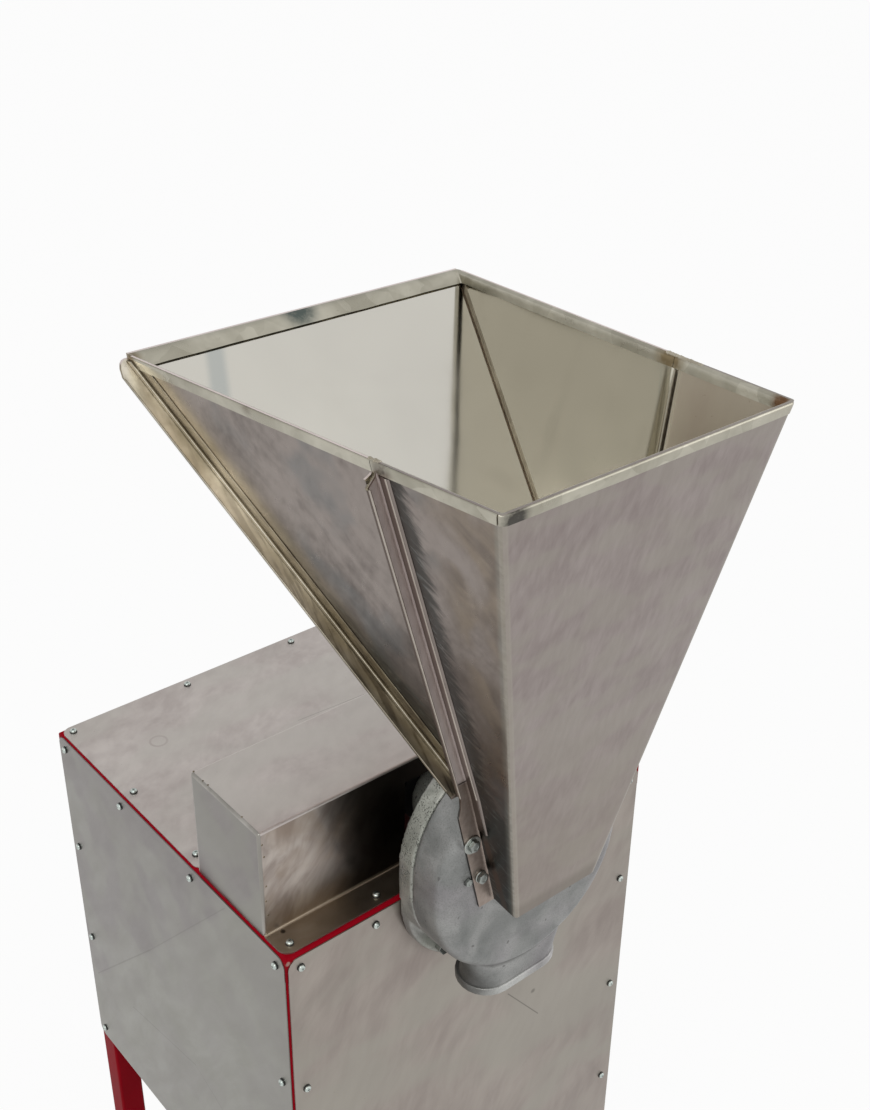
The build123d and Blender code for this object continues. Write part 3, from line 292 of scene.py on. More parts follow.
class Finish(Tree):
    """Material with one surface, patterned on the piece's own coordinates."""

    def __init__(self, name):
        self.material = bpy.data.materials.new(name)
        self.material.use_nodes = True
        super().__init__(self.material.node_tree)
        self.tree.nodes.clear()
        self.place = self.node("ShaderNodeTexCoord", output="Object")

    def turned(self, degrees, stretch=(1.0, 1.0, 1.0)):
        """Coordinates turned and stretched."""
        turn = [math.radians(angle) for angle in degrees]
        return self.node("ShaderNodeMapping", {}, {"Vector": self.place, "Rotation": turn, "Scale": stretch})

    def vector(self, operation, first, second, output=0):
        return self.node("ShaderNodeVectorMath", {"operation": operation}, {0: first, 1: second}, output)

    def scaled(self, vector, amount):
        return self.node("ShaderNodeVectorMath", {"operation": "SCALE"}, {0: vector, "Scale": amount})

    def noise(self, grain, at=None, detail=3.0, rough=0.5, bend=0.0):
        values = {"Scale": 1 / grain, "Detail": detail, "Roughness": rough, "Distortion": bend}
        return self.node("ShaderNodeTexNoise", {}, {"Vector": at or self.place, **values})

    def cells(self, grain, at=None):
        return self.node("ShaderNodeTexVoronoi", {}, {"Vector": at or self.place, "Scale": 1 / grain})

    def along(self, direction):
        """Distance along a direction."""
        return self.vector("DOT_PRODUCT", self.place, Vector(direction), "Value")

    def rise(self):
        """Height above the cabinet top."""
        return self.along((0, 0, 1)) - cabinet_top

    def facing(self, direction):
        """How far the surface faces a direction."""
        normal = self.node("ShaderNodeNewGeometry", output="Normal")
        return self.vector("DOT_PRODUCT", normal, Vector(direction), "Value")

    def beyond(self, flat):
        """Distance outside a plane."""
        return self.along(flat[0]) - flat[1]

    def near(self, point, radius, soft=0.5):
        """Mark round a point, fading out at the radius."""
        return self.vector("DISTANCE", self.place, Vector(point), "Value").between(radius, radius * soft)

    def mark(self, start, end, width):
        """Straight mark from one point to another, fading out over its width."""
        run = end - start
        from_start = self.vector("SUBTRACT", self.place, start)
        share = self.vector("DOT_PRODUCT", from_start, run, "Value") / run.length_squared
        on_line = self.scaled(run, share.most(0.0).least(1.0))
        return self.vector("DISTANCE", from_start, on_line, "Value").between(width, 0.3 * width)

    def red(self, color):
        """Red channel of a colour, as a number."""
        return self.node("ShaderNodeSeparateColor", {}, {"Color": color}, output="Red")

    def mix(self, share, *colors):
        """Mix of two colours, each from the tree or an sRGB triple."""
        first, second = [color if isinstance(color, Wire) else linear(color) for color in colors]
        return self.node("ShaderNodeMix", {"data_type": "RGBA"}, {0: share, 6: first, 7: second}, output=2)

    def warped(self, grain, amount, at=None):
        """Coordinates shifted about by a slow noise."""
        shift = self.noise(grain, at, detail=1.0).part("Color")
        centred = self.vector("SUBTRACT", shift, (0.5, 0.5, 0.5))
        return self.vector("ADD", at or self.place, self.scaled(centred, amount))

    def bump(self, height, depth, under=None, strength=1.0):
        values = {"Height": height, "Distance": depth, "Strength": strength}
        if under:
            values["Normal"] = under
        return self.node("ShaderNodeBump", {}, values)

    def surface(self, color, roughness, metallic, bump=None, **constants):
        values = {"Base Color": color, "Roughness": roughness, "Metallic": metallic, **constants}
        if bump:
            values["Normal"] = bump
        shader = self.node("ShaderNodeBsdfPrincipled", {}, values)
        self.node("ShaderNodeOutputMaterial", {}, {"Surface": shader})
        return self.material


def seen_directly(tree):
    """Share of the rays that show a surface itself or its image in metal or glass."""
    path = tree.node("ShaderNodeLightPath")
    return path.part("Is Camera Ray").most(path.part("Is Transmission Ray")).most(path.part("Is Glossy Ray"))


# Points from the cabinet corner, and planes as an outward normal and its reach
def spot(x, y, z):
    return origin + Vector((x, y, z))


def spot_mm(x, y, z):
    """Point given in millimetres from the cabinet corner."""
    return spot(x * mm, y * mm, z * mm)


def plane(normal, point):
    normal = Vector(normal).normalized()
    return normal, normal.dot(point)


def level(height):
    """Level plane at a height above the cabinet top."""
    return plane((0, 0, 1), spot(0, 0, height))


def moved(flat, outset):
    return flat[0], flat[1] + outset


def mixed(first, second, share):
    return first[0].lerp(second[0], share), first[1] + (second[1] - first[1]) * share


def meet(*flats):
    """Point where three planes cross."""
    rows = Matrix([normal for normal, _ in flats])
    return rows.inverted() @ Vector([reach for _, reach in flats])


rim_front = spot(0, -rim_front_reach, rim_front_rise)
rim_back = spot(0, rim_back_reach, rim_back_rise)
chute_front = spot(0, -chute_reach, chute_rise)
chute_tail = spot(0, drum_face, chute_tail_rise)
seam_foot = spot(0, drum_face, foot_rise)
seam_head = spot(0, -seam_top_reach, rim_back_rise)
across = Vector((1.0, 0.0, 0.0))
front_wall = plane(across.cross(rim_front - chute_front), rim_front)
rear_wall = plane((rim_back - seam_foot).cross(across), rim_back)
rim_level = plane((rim_front - rim_back).cross(across), rim_front)
chute_floor = plane(across.cross(chute_tail - chute_front), chute_front)
seam_low = plane((0, 1, 0), seam_foot)
seam_high = plane((seam_head - seam_foot).cross(across), seam_foot)


def side_wall(side):
    halves = (rim_front_half, rim_back_half, chute_half)
    corners = [p + across * side * half for p, half in zip((rim_front, rim_back, chute_front), halves)]
    normal = (corners[1] - corners[0]).cross(corners[2] - corners[0])
    return plane(normal if normal.x * side > 0 else -normal, corners[0])


left_wall = side_wall(-1)
right_wall = side_wall(1)


def seam_point(wall, outset, ahead, flat):
    """Point at a distance out of a side wall and ahead of the seam."""
    point = meet(moved(wall, outset), moved(seam_low, -ahead), flat)
    if point.z > seam_foot.z:
        point = meet(moved(wall, outset), moved(seam_high, -ahead), flat)
    return point


def bend_point(first, second, share, radius, outset, flat):
    """Point on the round corner between two walls."""
    middle = meet(moved(first, -radius), moved(second, -radius), flat)
    edge = first[0].cross(second[0]).normalized()
    out = first[0].slerp(second[0], share)
    point = middle + out * (radius + outset)
    normal, reach = flat
    return point + edge * (reach - normal.dot(point)) / normal.dot(edge)


# Meshes
def turns(angle, steps):
    """Angles from nought to the given one, in even steps."""
    return [angle * k / steps for k in range(steps + 1)]


def linked(name, data):
    """New object in the scene."""
    made = bpy.data.objects.new(name, data)
    bpy.context.scene.collection.objects.link(made)
    return made


def plain(holder):
    """Plain mesh of an object with its modifiers, and the object gone."""
    mesh = bpy.data.meshes.new_from_object(holder.evaluated_get(bpy.context.evaluated_depsgraph_get()))
    bpy.data.objects.remove(holder)
    return mesh


def piece(name, mesh, finishes, nodes=(), body="cabinet"):
    """Object at the origin that rides on a body, and stands for CAD nodes."""
    mesh.name = name
    made = linked(name, mesh)
    for finish in finishes:
        mesh.materials.append(finish)
    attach(made, body)
    if nodes:
        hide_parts(*nodes)


def sheet_piece(name, mesh, finishes, node):
    piece(name, mesh, finishes, [node])


def smooth(mesh, angle=sharp_from):
    """Smooth shading with edges sharper than the angle kept."""
    mesh.shade_smooth()
    mesh.set_sharp_from_angle(angle=math.radians(angle))
    return mesh


def bare_mesh(work):
    """Mesh of a bmesh, and the bmesh gone."""
    mesh = bpy.data.meshes.new("made")
    work.to_mesh(mesh)
    work.free()
    return mesh


def mesh_of(work, angle=sharp_from, merge=same_point):
    """Smooth mesh of a bmesh, with doubles merged and faces outwards."""
    bmesh.ops.remove_doubles(work, verts=work.verts, dist=merge)
    bmesh.ops.recalc_face_normals(work, faces=work.faces)
    return smooth(bare_mesh(work), angle)


def finished(mesh, *modifiers):
    """Plain mesh after modifiers, each a type and its settings."""
    holder = linked("holder", mesh)
    for kind, settings in modifiers:
        added = holder.modifiers.new(kind, kind)
        for name, value in settings.items():
            setattr(added, name, value)
    return plain(holder)


def skin(work, inner, outer):
    """Closed sheet between two grids of points, rows first; inner faces take the second finish."""
    low = [[work.verts.new(p) for p in row] for row in inner]
    high = [[work.verts.new(p) for p in row] for row in outer]
    for r in range(len(inner) - 1):
        n = r + 1
        for c in range(len(inner[0]) - 1):
            work.faces.new((high[r][c], high[r][c + 1], high[n][c + 1], high[n][c]))
            work.faces.new((low[r][c], low[n][c], low[n][c + 1], low[r][c + 1])).material_index = 1
        work.faces.new((low[r][0], high[r][0], high[n][0], low[n][0]))
        work.faces.new((low[r][-1], low[n][-1], high[n][-1], high[r][-1]))
    for c in range(len(inner[0]) - 1):
        work.faces.new((low[0][c], low[0][c + 1], high[0][c + 1], high[0][c]))
        work.faces.new((low[-1][c], high[-1][c], high[-1][c + 1], low[-1][c + 1]))


def sweep(work, sections, finish=0, ring=False):
    """Solid through closed sections of the same number of points, capped at both ends unless it is a ring."""
    loops = [[work.verts.new(p) for p in section] for section in sections]
    count = len(loops[0])
    for first, second in zip(loops, loops[1:] + loops[:1] if ring else loops[1:]):
        for k in range(count):
            n = (k + 1) % count
            work.faces.new((first[k], first[n], second[n], second[k])).material_index = finish
    for cap in () if ring else (loops[0], loops[-1]):
        work.faces.new(cap).material_index = finish


def rounded(corners, radius, steps):
    """Outline with its corners rounded as far as its sides allow."""
    points = []
    for k, point in enumerate(corners):
        here = Vector(point)
        back, ahead = Vector(corners[k - 1]), Vector(corners[(k + 1) % len(corners)])
        reach = min(radius, 0.45 * (back - here).length, 0.45 * (ahead - here).length)
        start = here + (back - here).normalized() * reach
        end = here + (ahead - here).normalized() * reach
        for s in range(steps + 1):
            t = s / steps
            points.append(start * (1 - t) ** 2 + here * 2 * t * (1 - t) + end * t**2)
    return points


def lathe(profile, segments):
    """Bmesh turned about z from (radius, height) points."""
    work = bmesh.new()
    round_once = turns(2 * math.pi, segments)[:-1]
    loops = []
    for radius, z in profile:
        loops.append([work.verts.new((radius * math.cos(a), radius * math.sin(a), z)) for a in round_once])
    for first, second in zip(loops, loops[1:]):
        for k in range(segments):
            n = (k + 1) % segments
            work.faces.new((first[k], first[n], second[n], second[k]))
    return work


def hexagon(flat, low, high):
    """Bmesh of a hexagonal bar along z, from its distance between centre and flat."""
    work = bmesh.new()
    reach = flat / math.cos(math.pi / 6)
    corners = [(reach * math.cos(a), reach * math.sin(a)) for a in turns(2 * math.pi, 6)[:-1]]
    sweep(work, [[(x, y, z) for x, y in corners] for z in (low, high)])
    return work


def cut(mesh, tool, operation):
    """Boolean of two meshes."""
    other = linked("tool", tool)
    made = finished(mesh, ("BOOLEAN", {"object": other, "operation": operation, "solver": "EXACT"}))
    bpy.data.objects.remove(other)
    return smooth(made)


def plain_copy(node):
    """Bmesh of a CAD node with its loose triangles joined."""
    mesh = frame["nodes"][node].data.copy()
    if "custom_normal" in mesh.attributes:
        mesh.attributes.remove(mesh.attributes["custom_normal"])
    work = bmesh.new()
    work.from_mesh(mesh)
    bpy.data.meshes.remove(mesh)
    bmesh.ops.remove_doubles(work, verts=work.verts, dist=same_cad_point)
    return work


def islands(node):
    """Lowest and highest corner of each separate solid in a CAD node."""
    work = plain_copy(node)
    seen = set()
    boxes = []
    for start in work.verts:
        if start in seen:
            continue
        group, wave = [], [start]
        seen.add(start)
        while wave:
            vert = wave.pop()
            group.append(vert.co.copy())
            near = [edge.other_vert(vert) for edge in vert.link_edges]
            fresh = [other for other in near if other not in seen]
            seen.update(fresh)
            wave += fresh
        low = Vector([min(p[k] for p in group) for k in range(3)])
        high = Vector([max(p[k] for p in group) for k in range(3)])
        boxes.append((low, high))
    work.free()
    return sorted(boxes, key=lambda box: tuple(round(v, 5) for v in box[0]))


def softened(node, width, finish):
    """Copy of a CAD node with its edges broken."""
    work = plain_copy(node)
    bmesh.ops.dissolve_limit(work, angle_limit=math.radians(flat_within), verts=work.verts, edges=work.edges)
    mesh = bare_mesh(work)
    mesh.shade_smooth()
    bevel = {"width": width, "segments": 2, "limit_method": "ANGLE", "angle_limit": math.radians(sharp_from),
             "use_clamp_overlap": True}
    made = finished(mesh, ("BEVEL", bevel), ("WEIGHTED_NORMAL", {"keep_sharp": True}))
    made.materials.clear()
    piece(f"{node}_dressed", made, [finish], [node], frame["nodes"][node]["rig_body"])


def cast(node, passes, finish):
    """Copy of a CAD node as it comes from a sand mould, with every edge run over."""
    made = finished(
        bare_mesh(plain_copy(node)),
        ("REMESH", {"mode": "VOXEL", "voxel_size": cast_grain, "use_smooth_shade": True}),
        ("SMOOTH", {"factor": 0.5, "iterations": passes}),
    )
    places = [(vert.co.copy(), vert.normal.copy()) for vert in made.vertices]
    for vert, (point, normal) in zip(made.vertices, places):
        lift = noise.noise(point / cast_lump_length) + 0.6 * noise.noise(point / cast_lump_fine)
        vert.co = point + normal * lift * cast_lump
    made.materials.clear()
    piece(f"{node}_dressed", made, [finish], [node])


# Finishes
def streaks(f, degrees, length, width, warp):
    """Short smears of a grinding disc, lengthwise along the turned x axis."""
    at = f.warped(90 * mm, warp, f.turned(degrees))
    long = f.node("ShaderNodeMapping", {}, {"Vector": at, "Scale": (width / length, 1.0, 1.0)})
    return f.noise(width, long, detail=3.0, rough=0.55)


def grinding(f, degrees, size):
    """Strokes of a grinding disc: shares of light and of green, fine lines, and the strokes alone."""
    other = (degrees[0], degrees[1] + 24, degrees[2])
    stroke = streaks(f, degrees, 3.2 * size, size, 2.0 * size)
    over = streaks(f, other, 2.4 * size, 0.6 * size, 1.6 * size)
    hair = streaks(f, degrees, 60 * mm, 1.1 * mm, 25 * mm)
    feather = streaks(f, degrees, 1.6 * size, 0.16 * size, size)
    edge = f.cells(4.5 * size, f.warped(4 * size, 3 * size)).part("Distance") + (feather - 0.5) * 0.35
    disc = edge.between(0.62, 0.3)
    light = stroke.between(0.3, 0.7) * 0.45 + over.between(0.3, 0.7) * 0.35 + disc * 0.2
    green = f.noise(3.0 * size, f.turned(other, (0.5, 1.0, 1.0)), detail=2.0).between(0.4, 0.6)
    return light, green, hair, stroke


def sheet_bump(f, hair, hair_depth, wave_size, wave_depth):
    """Fine grinding lines over the slow waves of a thin sheet."""
    wave = f.bump(f.noise(wave_size, detail=1.0), wave_depth)
    return f.bump(hair, hair_depth, wave, 0.5)


def ground_sheet(name, dark, light, green, degrees, size, rough, marks=(), rings=(), tinted_side=None):
    """Stainless sheet gone over with a grinding disc, with long scratches, rings and dark specks."""
    f = Finish(name)
    share, cast_share, hair, stroke = grinding(f, degrees, size)
    cloud = f.noise(140 * mm, detail=2.0, bend=0.6)
    speck = f.cells(15 * mm).part("Distance").between(0.06, 0.03)
    color = f.mix(share * 0.75 + cloud.between(0.3, 0.7) * 0.25, dark, light)
    color = f.mix(cast_share * 0.55, color, green)
    color = f.mix(speck * 0.16, color, (96, 86, 78))
    if tinted_side:
        color = f.mix(f.beyond(tinted_side).between(5 * mm, -5 * mm) * 0.5, color, green)
    for middle, radius in rings:
        away = f.vector("DISTANCE", f.place, spot_mm(*middle), "Value") - radius * mm
        color = f.mix(away.size().between(1.8 * mm, 0.6 * mm) * stroke, color, dark)
    for start, end, width, strength in marks:
        line = f.mark(spot_mm(*start), spot_mm(*end), width * mm)
        color = f.mix(line * strength, color, (84, 78, 74))
    roughness = rough + (stroke - 0.5) * 0.2 + (share - 0.5) * 0.06
    return f.surface(color, roughness, 1.0, sheet_bump(f, hair, 0.02 * mm, 160 * mm, 1.6 * mm))


def guard_sheet_finish():
    """Guard front left bright, with brown smears and a painted dark reflection that thickens towards the
    mill.
    """
    f = Finish("guard sheet")
    smear = streaks(f, (0, 62, 0), 70 * mm, 18 * mm, 60 * mm)
    cloud = f.noise(55 * mm, detail=2.5, bend=0.8)
    hair = streaks(f, (0, 62, 0), 60 * mm, 1.1 * mm, 25 * mm)
    foot = f.rise().between(5 * mm, 2.5 * mm)
    inward = f.along(across).size()
    # Painted reflection: the front darkens towards the mill, standing in for the dark drum and hopper
    # mirrored in it.
    painted_dark_reflection = (inward + (cloud - 0.5) * 70 * mm - (smear - 0.5) * 25 * mm).between(176 * mm, 112 * mm)
    color = f.mix(smear.between(0.3, 0.7), (140, 129, 122), (184, 175, 167))
    color = f.mix(cloud.between(0.45, 0.65) * 0.45, color, (140, 123, 106))
    color = f.mix(foot * 0.75, color, (172, 158, 136))
    color = f.mix(painted_dark_reflection * (0.9 - foot * 0.62), color, (38, 33, 29))
    hole = f.near(spot_mm(-206.5, 30.8, 2.7), 3.4 * mm)
    color = f.mix(hole * 0.85, color, (38, 30, 24))
    return f.surface(color, 0.3 + smear * 0.1, 1.0, sheet_bump(f, hair, 0.015 * mm, 120 * mm, 1.0 * mm))


def flank_tint_and_rib_reflection(f, stroke, cloud, run, feather):
    """Heat tint of the flanks: brown and blue-grey, olive by the lap, burnt by the corner, with a painted
    dark reflection of the rib ahead of the seam.
    """
    rise = f.rise()
    ahead = -f.beyond(seam_high)
    behind = f.beyond(rear_wall)
    foot = rise.between(480 * mm, 60 * mm)
    lower = rise.between(400 * mm, 250 * mm)
    ragged = (run - 0.5) * 22 * mm + (feather - 0.5) * 26 * mm
    stain = (run * 0.6 + cloud * 0.5 + (stroke - 0.5) * 0.3 + foot * 0.37 - 0.1).between(0.35, 0.85)
    color = f.mix(stain, (140, 131, 125), (94, 86, 81))
    blue = f.noise(60 * mm, f.turned((10, 30, 0)), detail=2.0).between(0.52, 0.7)
    color = f.mix(blue * 0.5, color, (100, 104, 105))
    olive = ahead.between(30 * mm, 60 * mm) * cloud.between(0.35, 0.6)
    olive_tone = f.mix(run.between(0.35, 0.65), (96, 85, 74), (136, 123, 107))
    color = f.mix(olive * 0.7, color, olive_tone)
    lap = (behind + ragged * 0.5).between(-44 * mm, -18 * mm) * (1 - lower)
    color = f.mix(lap * 0.65, color, (158, 148, 126))
    # Painted reflection: this band ahead of the seam is the rib mirrored dark in the flank; it takes the same
    # colour as the burnt corner.
    edge = (ahead + ragged).between(36 * mm, 21 * mm) * ahead.between(8 * mm, 13 * mm)
    soft = (behind + ragged).between(-85 * mm, -20 * mm) * 0.42
    licks = (behind + ragged * 1.5).between(-36 * mm, -24 * mm) * 0.85
    by_corner = soft.most(licks) * (0.1 + lower * 0.9)
    burnt = f.mix(feather.between(0.52, 0.68) * 0.6, (54, 53, 50), (102, 107, 105))
    return f.mix((edge * 0.9).most(by_corner), color, burnt)


def leaf_tint_and_painted_light(f, cloud, feather):
    """Leaf of the seam with painted light that makes it pale, dull where it is bolted to the drum, with a
    crack above its step.
    """
    above = f.rise() - foot_rise
    # Painted light: the pale tones lift the leaf out of the shade of the corner beside it.
    color = f.mix(cloud, (198, 184, 180), (232, 220, 216))
    color = f.mix(above.between(95 * mm, 70 * mm) * 0.6, color, (222, 211, 207))
    foot_tone = f.mix(feather, (126, 113, 104), (164, 151, 142))
    color = f.mix(above.between(22 * mm, 14 * mm), color, foot_tone)
    ends = [seam_point(left_wall, hopper_sheet + out * mm, hopper_sheet, level(foot_rise + 17 * mm))
            for out in (1, 9)]
    return f.mix(f.mark(*ends, 1.0 * mm) * 0.9, color, (34, 28, 24))


def hopper_outside():
    """Ground sheet, with heat tint on its flanks, painted light on the leaf at the seam, painted shade on the
    fold and foot, and painted highlights on the front bends.
    """
    f = Finish("hopper ground sheet")
    flank = f.facing(across).size().between(0.6, 0.8)
    share, cast_share, hair, stroke = grinding(f, (0, 62, 12), 9 * mm)
    run = streaks(f, (-40, 0, -90), 110 * mm, 20 * mm, 60 * mm)
    feather = streaks(f, (-34, 0, -90), 34 * mm, 4.0 * mm, 14 * mm)
    cloud = f.noise(80 * mm, detail=2.5, bend=0.8)
    ahead = -f.beyond(seam_high)
    leaf = ahead.between(7 * mm, 4 * mm)
    ground = f.mix(share * 0.8 + cloud.between(0.3, 0.7) * 0.2, (131, 120, 117), (156, 147, 143))
    ground = f.mix(cast_share * 0.45, ground, (150, 145, 135))
    # Painted shade: a dark band along the foot of the walls, just above the chute floor.
    ground = f.mix(f.beyond(chute_floor).between(20 * mm, 6 * mm) * 0.5, ground, (86, 78, 72))
    ground = f.mix(leaf, ground, leaf_tint_and_painted_light(f, cloud, feather))
    low_front = f.rise().between(280 * mm, 60 * mm) * (1 - leaf)
    ground = f.mix(low_front * 0.35, ground, (128, 118, 102))
    color = f.mix(flank, ground, flank_tint_and_rib_reflection(f, stroke, cloud, run, feather))
    # Painted shade on the round fold beside the leaf, hiding the light it would catch.
    by_fold = ahead.between(9 * mm, 6 * mm) * ahead.between(0.0, 1 * mm)
    fold = f.facing(across).size().between(0.12, 0.4) * by_fold
    color = f.mix(fold, color, (84, 70, 61))
    front_reach = f.beyond(front_wall)
    side_reach = f.beyond(left_wall).most(f.beyond(right_wall))
    # Painted highlight: light bands down the front corners, on the flank beside the bend and on the bend
    # itself.
    corner_side_highlight = front_reach.between(-8 * mm, -3 * mm) * flank * (0.1 + feather * 0.5)
    color = f.mix(corner_side_highlight, color, (146, 147, 139))
    bend = side_reach.between(-3.5 * mm, -1.5 * mm) * front_reach.between(-3.5 * mm, -1.5 * mm)
    color = f.mix(bend * (0.25 + feather * 0.6).least(0.8), color, (158, 152, 142))
    roughness = 0.36 + (stroke - 0.5) * 0.2 - flank * 0.05
    return f.surface(color, roughness, 1.0, sheet_bump(f, hair, 0.02 * mm, 140 * mm, 1.6 * mm))


def hopper_inside():
    """Mill-finish sheet, nearly a mirror: cream slope, olive flanks, brown ahead of the seam."""
    f = Finish("hopper mill finish")
    cloud = f.noise(130 * mm, detail=3.0, bend=0.5)
    film = f.noise(40 * mm, f.turned((0, 20, 0), (1, 1, 0.3)), detail=4.0)
    spots = f.noise(11 * mm, detail=4.0, rough=0.65)
    flank = f.facing(across).size().between(0.6, 0.8)
    cream = f.mix(cloud, (206, 203, 194), (194, 191, 183))
    olive = f.mix(cloud, (204, 199, 184), (188, 183, 168))
    front = -f.beyond(seam_high)
    ahead_share = front.between(0.0, 8 * mm) * flank
    color = f.mix(flank, cream, olive)
    color = f.mix(film.between(0.55, 0.8) * (0.05 + flank * 0.2), color, (158, 150, 136))
    # Painted reflection: a blue-grey band on the rear wall, as if the corner seam were mirrored in it.
    blue_reflection_band = f.mark(spot_mm(-102, 258, 475), spot_mm(-128, 205, 427), 13 * mm)
    color = f.mix(blue_reflection_band * 0.4, color, (132, 146, 150))
    color = f.mix(ahead_share * (0.4 + film * 0.5), color, (162, 149, 134))
    color = f.mix(spots.between(0.66, 0.76) * 0.35 * flank, color, (106, 96, 80))
    roughness = 0.07 + film * 0.07 + ahead_share * 0.3
    wave = f.bump(f.noise(170 * mm, detail=1.0), 0.9 * mm)
    return f.surface(color, roughness, 1.0, wave)


# Stains and weld marks on the rim: middle and radius in millimetres, and colour
hem_stains = (
    ((-182, 93, 481), 12, (74, 54, 40)),
    ((-8.8, 263, 474), 26, (70, 82, 80)),
    ((-140, -182, 488), 17, (52, 50, 48)),
    ((150, -170, 490), 14, (98, 64, 34)),
    ((146, 62, 482), 9, (84, 76, 66)),
    ((-186, 258, 474), 16, (120, 104, 80)),
    ((160, -46, 486), 24, (120, 104, 74)),
    ((-168, -62, 484), 16, (92, 84, 76)),
)


def rim_sheet():
    """Hem of the rim: scuffed bright edge, with stains and weld marks where its lengths meet."""
    f = Finish("rim hem sheet")
    run = f.noise(60 * mm, detail=4.0, rough=0.62, bend=0.4)
    spots = f.noise(5 * mm, detail=4.0, rough=0.7)
    patch = f.red(f.cells(30 * mm, f.warped(30 * mm, 30 * mm)).part("Color"))
    color = f.mix(run.between(0.3, 0.72) * 0.6 + patch * 0.4, (150, 146, 132), (194, 190, 176))
    color = f.mix(spots.between(0.64, 0.78) * 0.45, color, (96, 84, 68))
    for middle, radius, stain in hem_stains:
        mark = f.near(spot_mm(*middle), radius * mm, 0.2)
        color = f.mix((mark * (0.3 + spots * 1.4)).least(0.9), color, stain)
    bump = f.bump(f.noise(9 * mm, detail=3.0), 0.25 * mm)
    return f.surface(color, 0.3 + (run - 0.5) * 0.2, 1.0, bump)


def tinted_sheet(name, low, high, rough, groove_shade=None, burnt=0.0):
    """Folded edges with the olive and brown tint that folding and welding leave, and painted shade in a
    groove if one is given.
    """
    f = Finish(name)
    run = f.noise(60 * mm, f.turned((0, 40, 0), (1, 1, 0.35)), detail=4.0, rough=0.62, bend=0.4)
    spots = f.noise(7 * mm, detail=4.0, rough=0.7)
    color = f.mix(run.between(0.3, 0.72), low, high)
    color = f.mix(spots.between(0.62, 0.78) * 0.5, color, (82, 72, 58))
    if burnt:
        lick = streaks(f, (-43, 0, -90), 70 * mm, 6 * mm, 15 * mm).between(0.46, 0.64)
        foot = f.rise().between(440 * mm, 230 * mm)
        color = f.mix(foot * burnt, color, (118, 108, 88))
        color = f.mix(lick * burnt * (0.25 + foot * 0.75), color, (62, 51, 42))
    # Painted shade: a dark brown band in the groove beside the rib, up to the given reach ahead of the seam.
    if groove_shade:
        ahead = -f.beyond(seam_high)
        color = f.mix(ahead.between(groove_shade + 1.5 * mm, groove_shade) * (0.5 + run * 0.5), color, (78, 65, 56))
    bump = f.bump(f.noise(9 * mm, detail=3.0), 0.25 * mm)
    return f.surface(color, rough + (run - 0.5) * 0.2, 1.0, bump)


def casting(name, dark, light, pitting, rough):
    """Sand-cast alloy: mottled and grained, with painted shade where drum and spout meet, with more or fewer
    open pits.
    """
    f = Finish(name)
    cloud = f.noise(38 * mm, detail=3.5, bend=0.6)
    lilac = f.noise(55 * mm, f.turned((20, 0, 40)), detail=2.0)
    grain = f.noise(1.6 * mm, detail=4.0, rough=0.7)
    lumps = f.noise(8 * mm, detail=3.0)
    pit = f.cells(1.8 * mm, f.warped(3 * mm, 2.5 * mm)).part("Distance").between(0.5, 0.2)
    upper = f.rise().between(-40 * mm, 60 * mm)
    open_pit = pit * lumps.between(0.35, 0.6) * pitting * (0.15 + upper * 0.85)
    nick = f.cells(19 * mm, f.warped(8 * mm, 6 * mm)).part("Distance").between(0.1, 0.05)
    flat = f.vector("MULTIPLY", f.place, (1.0, 0.0, 1.0))
    axis = spot(0, 0, mill_rise - drum_below)
    radius = f.vector("DISTANCE", flat, Vector((axis.x, 0.0, axis.z)), "Value")
    below = f.rise().between(-36 * mm, -52 * mm)
    # Painted shade: a dark ring in the crease where drum and spout meet, and a dark patch under the drum at
    # the spout's left end.
    crease_shade = (radius.between(104 * mm, 109.5 * mm) * radius.between(114.5 * mm, 110 * mm) * below) * 0.5
    shaded = f.near(spot_mm(-56, -38, -96), 46 * mm, 0.3) * (0.6 + lumps * 0.5)
    color = f.mix(cloud.between(0.25, 0.75), dark, light)
    color = f.mix(lilac.between(0.45, 0.7) * 0.4, color, (150, 144, 148))
    color = f.mix(grain.between(0.45, 0.75) * 0.35, color, (82, 83, 80))
    color = f.mix(open_pit * 0.85, color, (62, 61, 57))
    color = f.mix(nick * 0.6, color, (78, 76, 74))
    color = f.mix(crease_shade.most(shaded.least(0.7)), color, (62, 60, 57))
    height = lumps * 0.5 + grain * 0.25 - open_pit * 0.9
    roughness = rough + (grain - 0.5) * 0.2 + open_pit * 0.2
    return f.surface(color, roughness, 0.75, f.bump(height, 0.4 * mm))


def enamel():
    """Red brushed enamel, a little dulled, darker in its thin places."""
    f = Finish("red enamel")
    cloud = f.noise(60 * mm, detail=3.0)
    peel = f.noise(2.2 * mm, detail=1.5)
    chip = f.noise(5 * mm, detail=5.0, rough=0.7).between(0.7, 0.73)
    color = f.mix(cloud, (122, 3, 17), (148, 6, 25))
    color = f.mix(chip * 0.7, color, (70, 22, 20))
    pip = f.near(spot_mm(-222.5, 0.5, -4.5), 3.0 * mm)
    color = f.mix(pip * 0.7, color, (170, 150, 140))
    roughness = 0.42 + cloud * 0.1
    return f.surface(color, roughness, 0.0, f.bump(peel, 0.05 * mm), **{"Specular IOR Level": 0.03})


def zinc(name, low, high, rough):
    """Plated fasteners, clouded and scuffed."""
    f = Finish(name)
    cloud = f.noise(5 * mm, detail=3.0)
    scuff = f.noise(1.1 * mm, f.turned((0, 0, 30), (1, 0.3, 1)), detail=3.0)
    color = f.mix(cloud, low, high)
    color = f.mix(scuff.between(0.6, 0.75) * 0.4, color, (110, 112, 104))
    return f.surface(color, rough + (cloud - 0.5) * 0.14, 1.0, f.bump(scuff, 0.03 * mm))


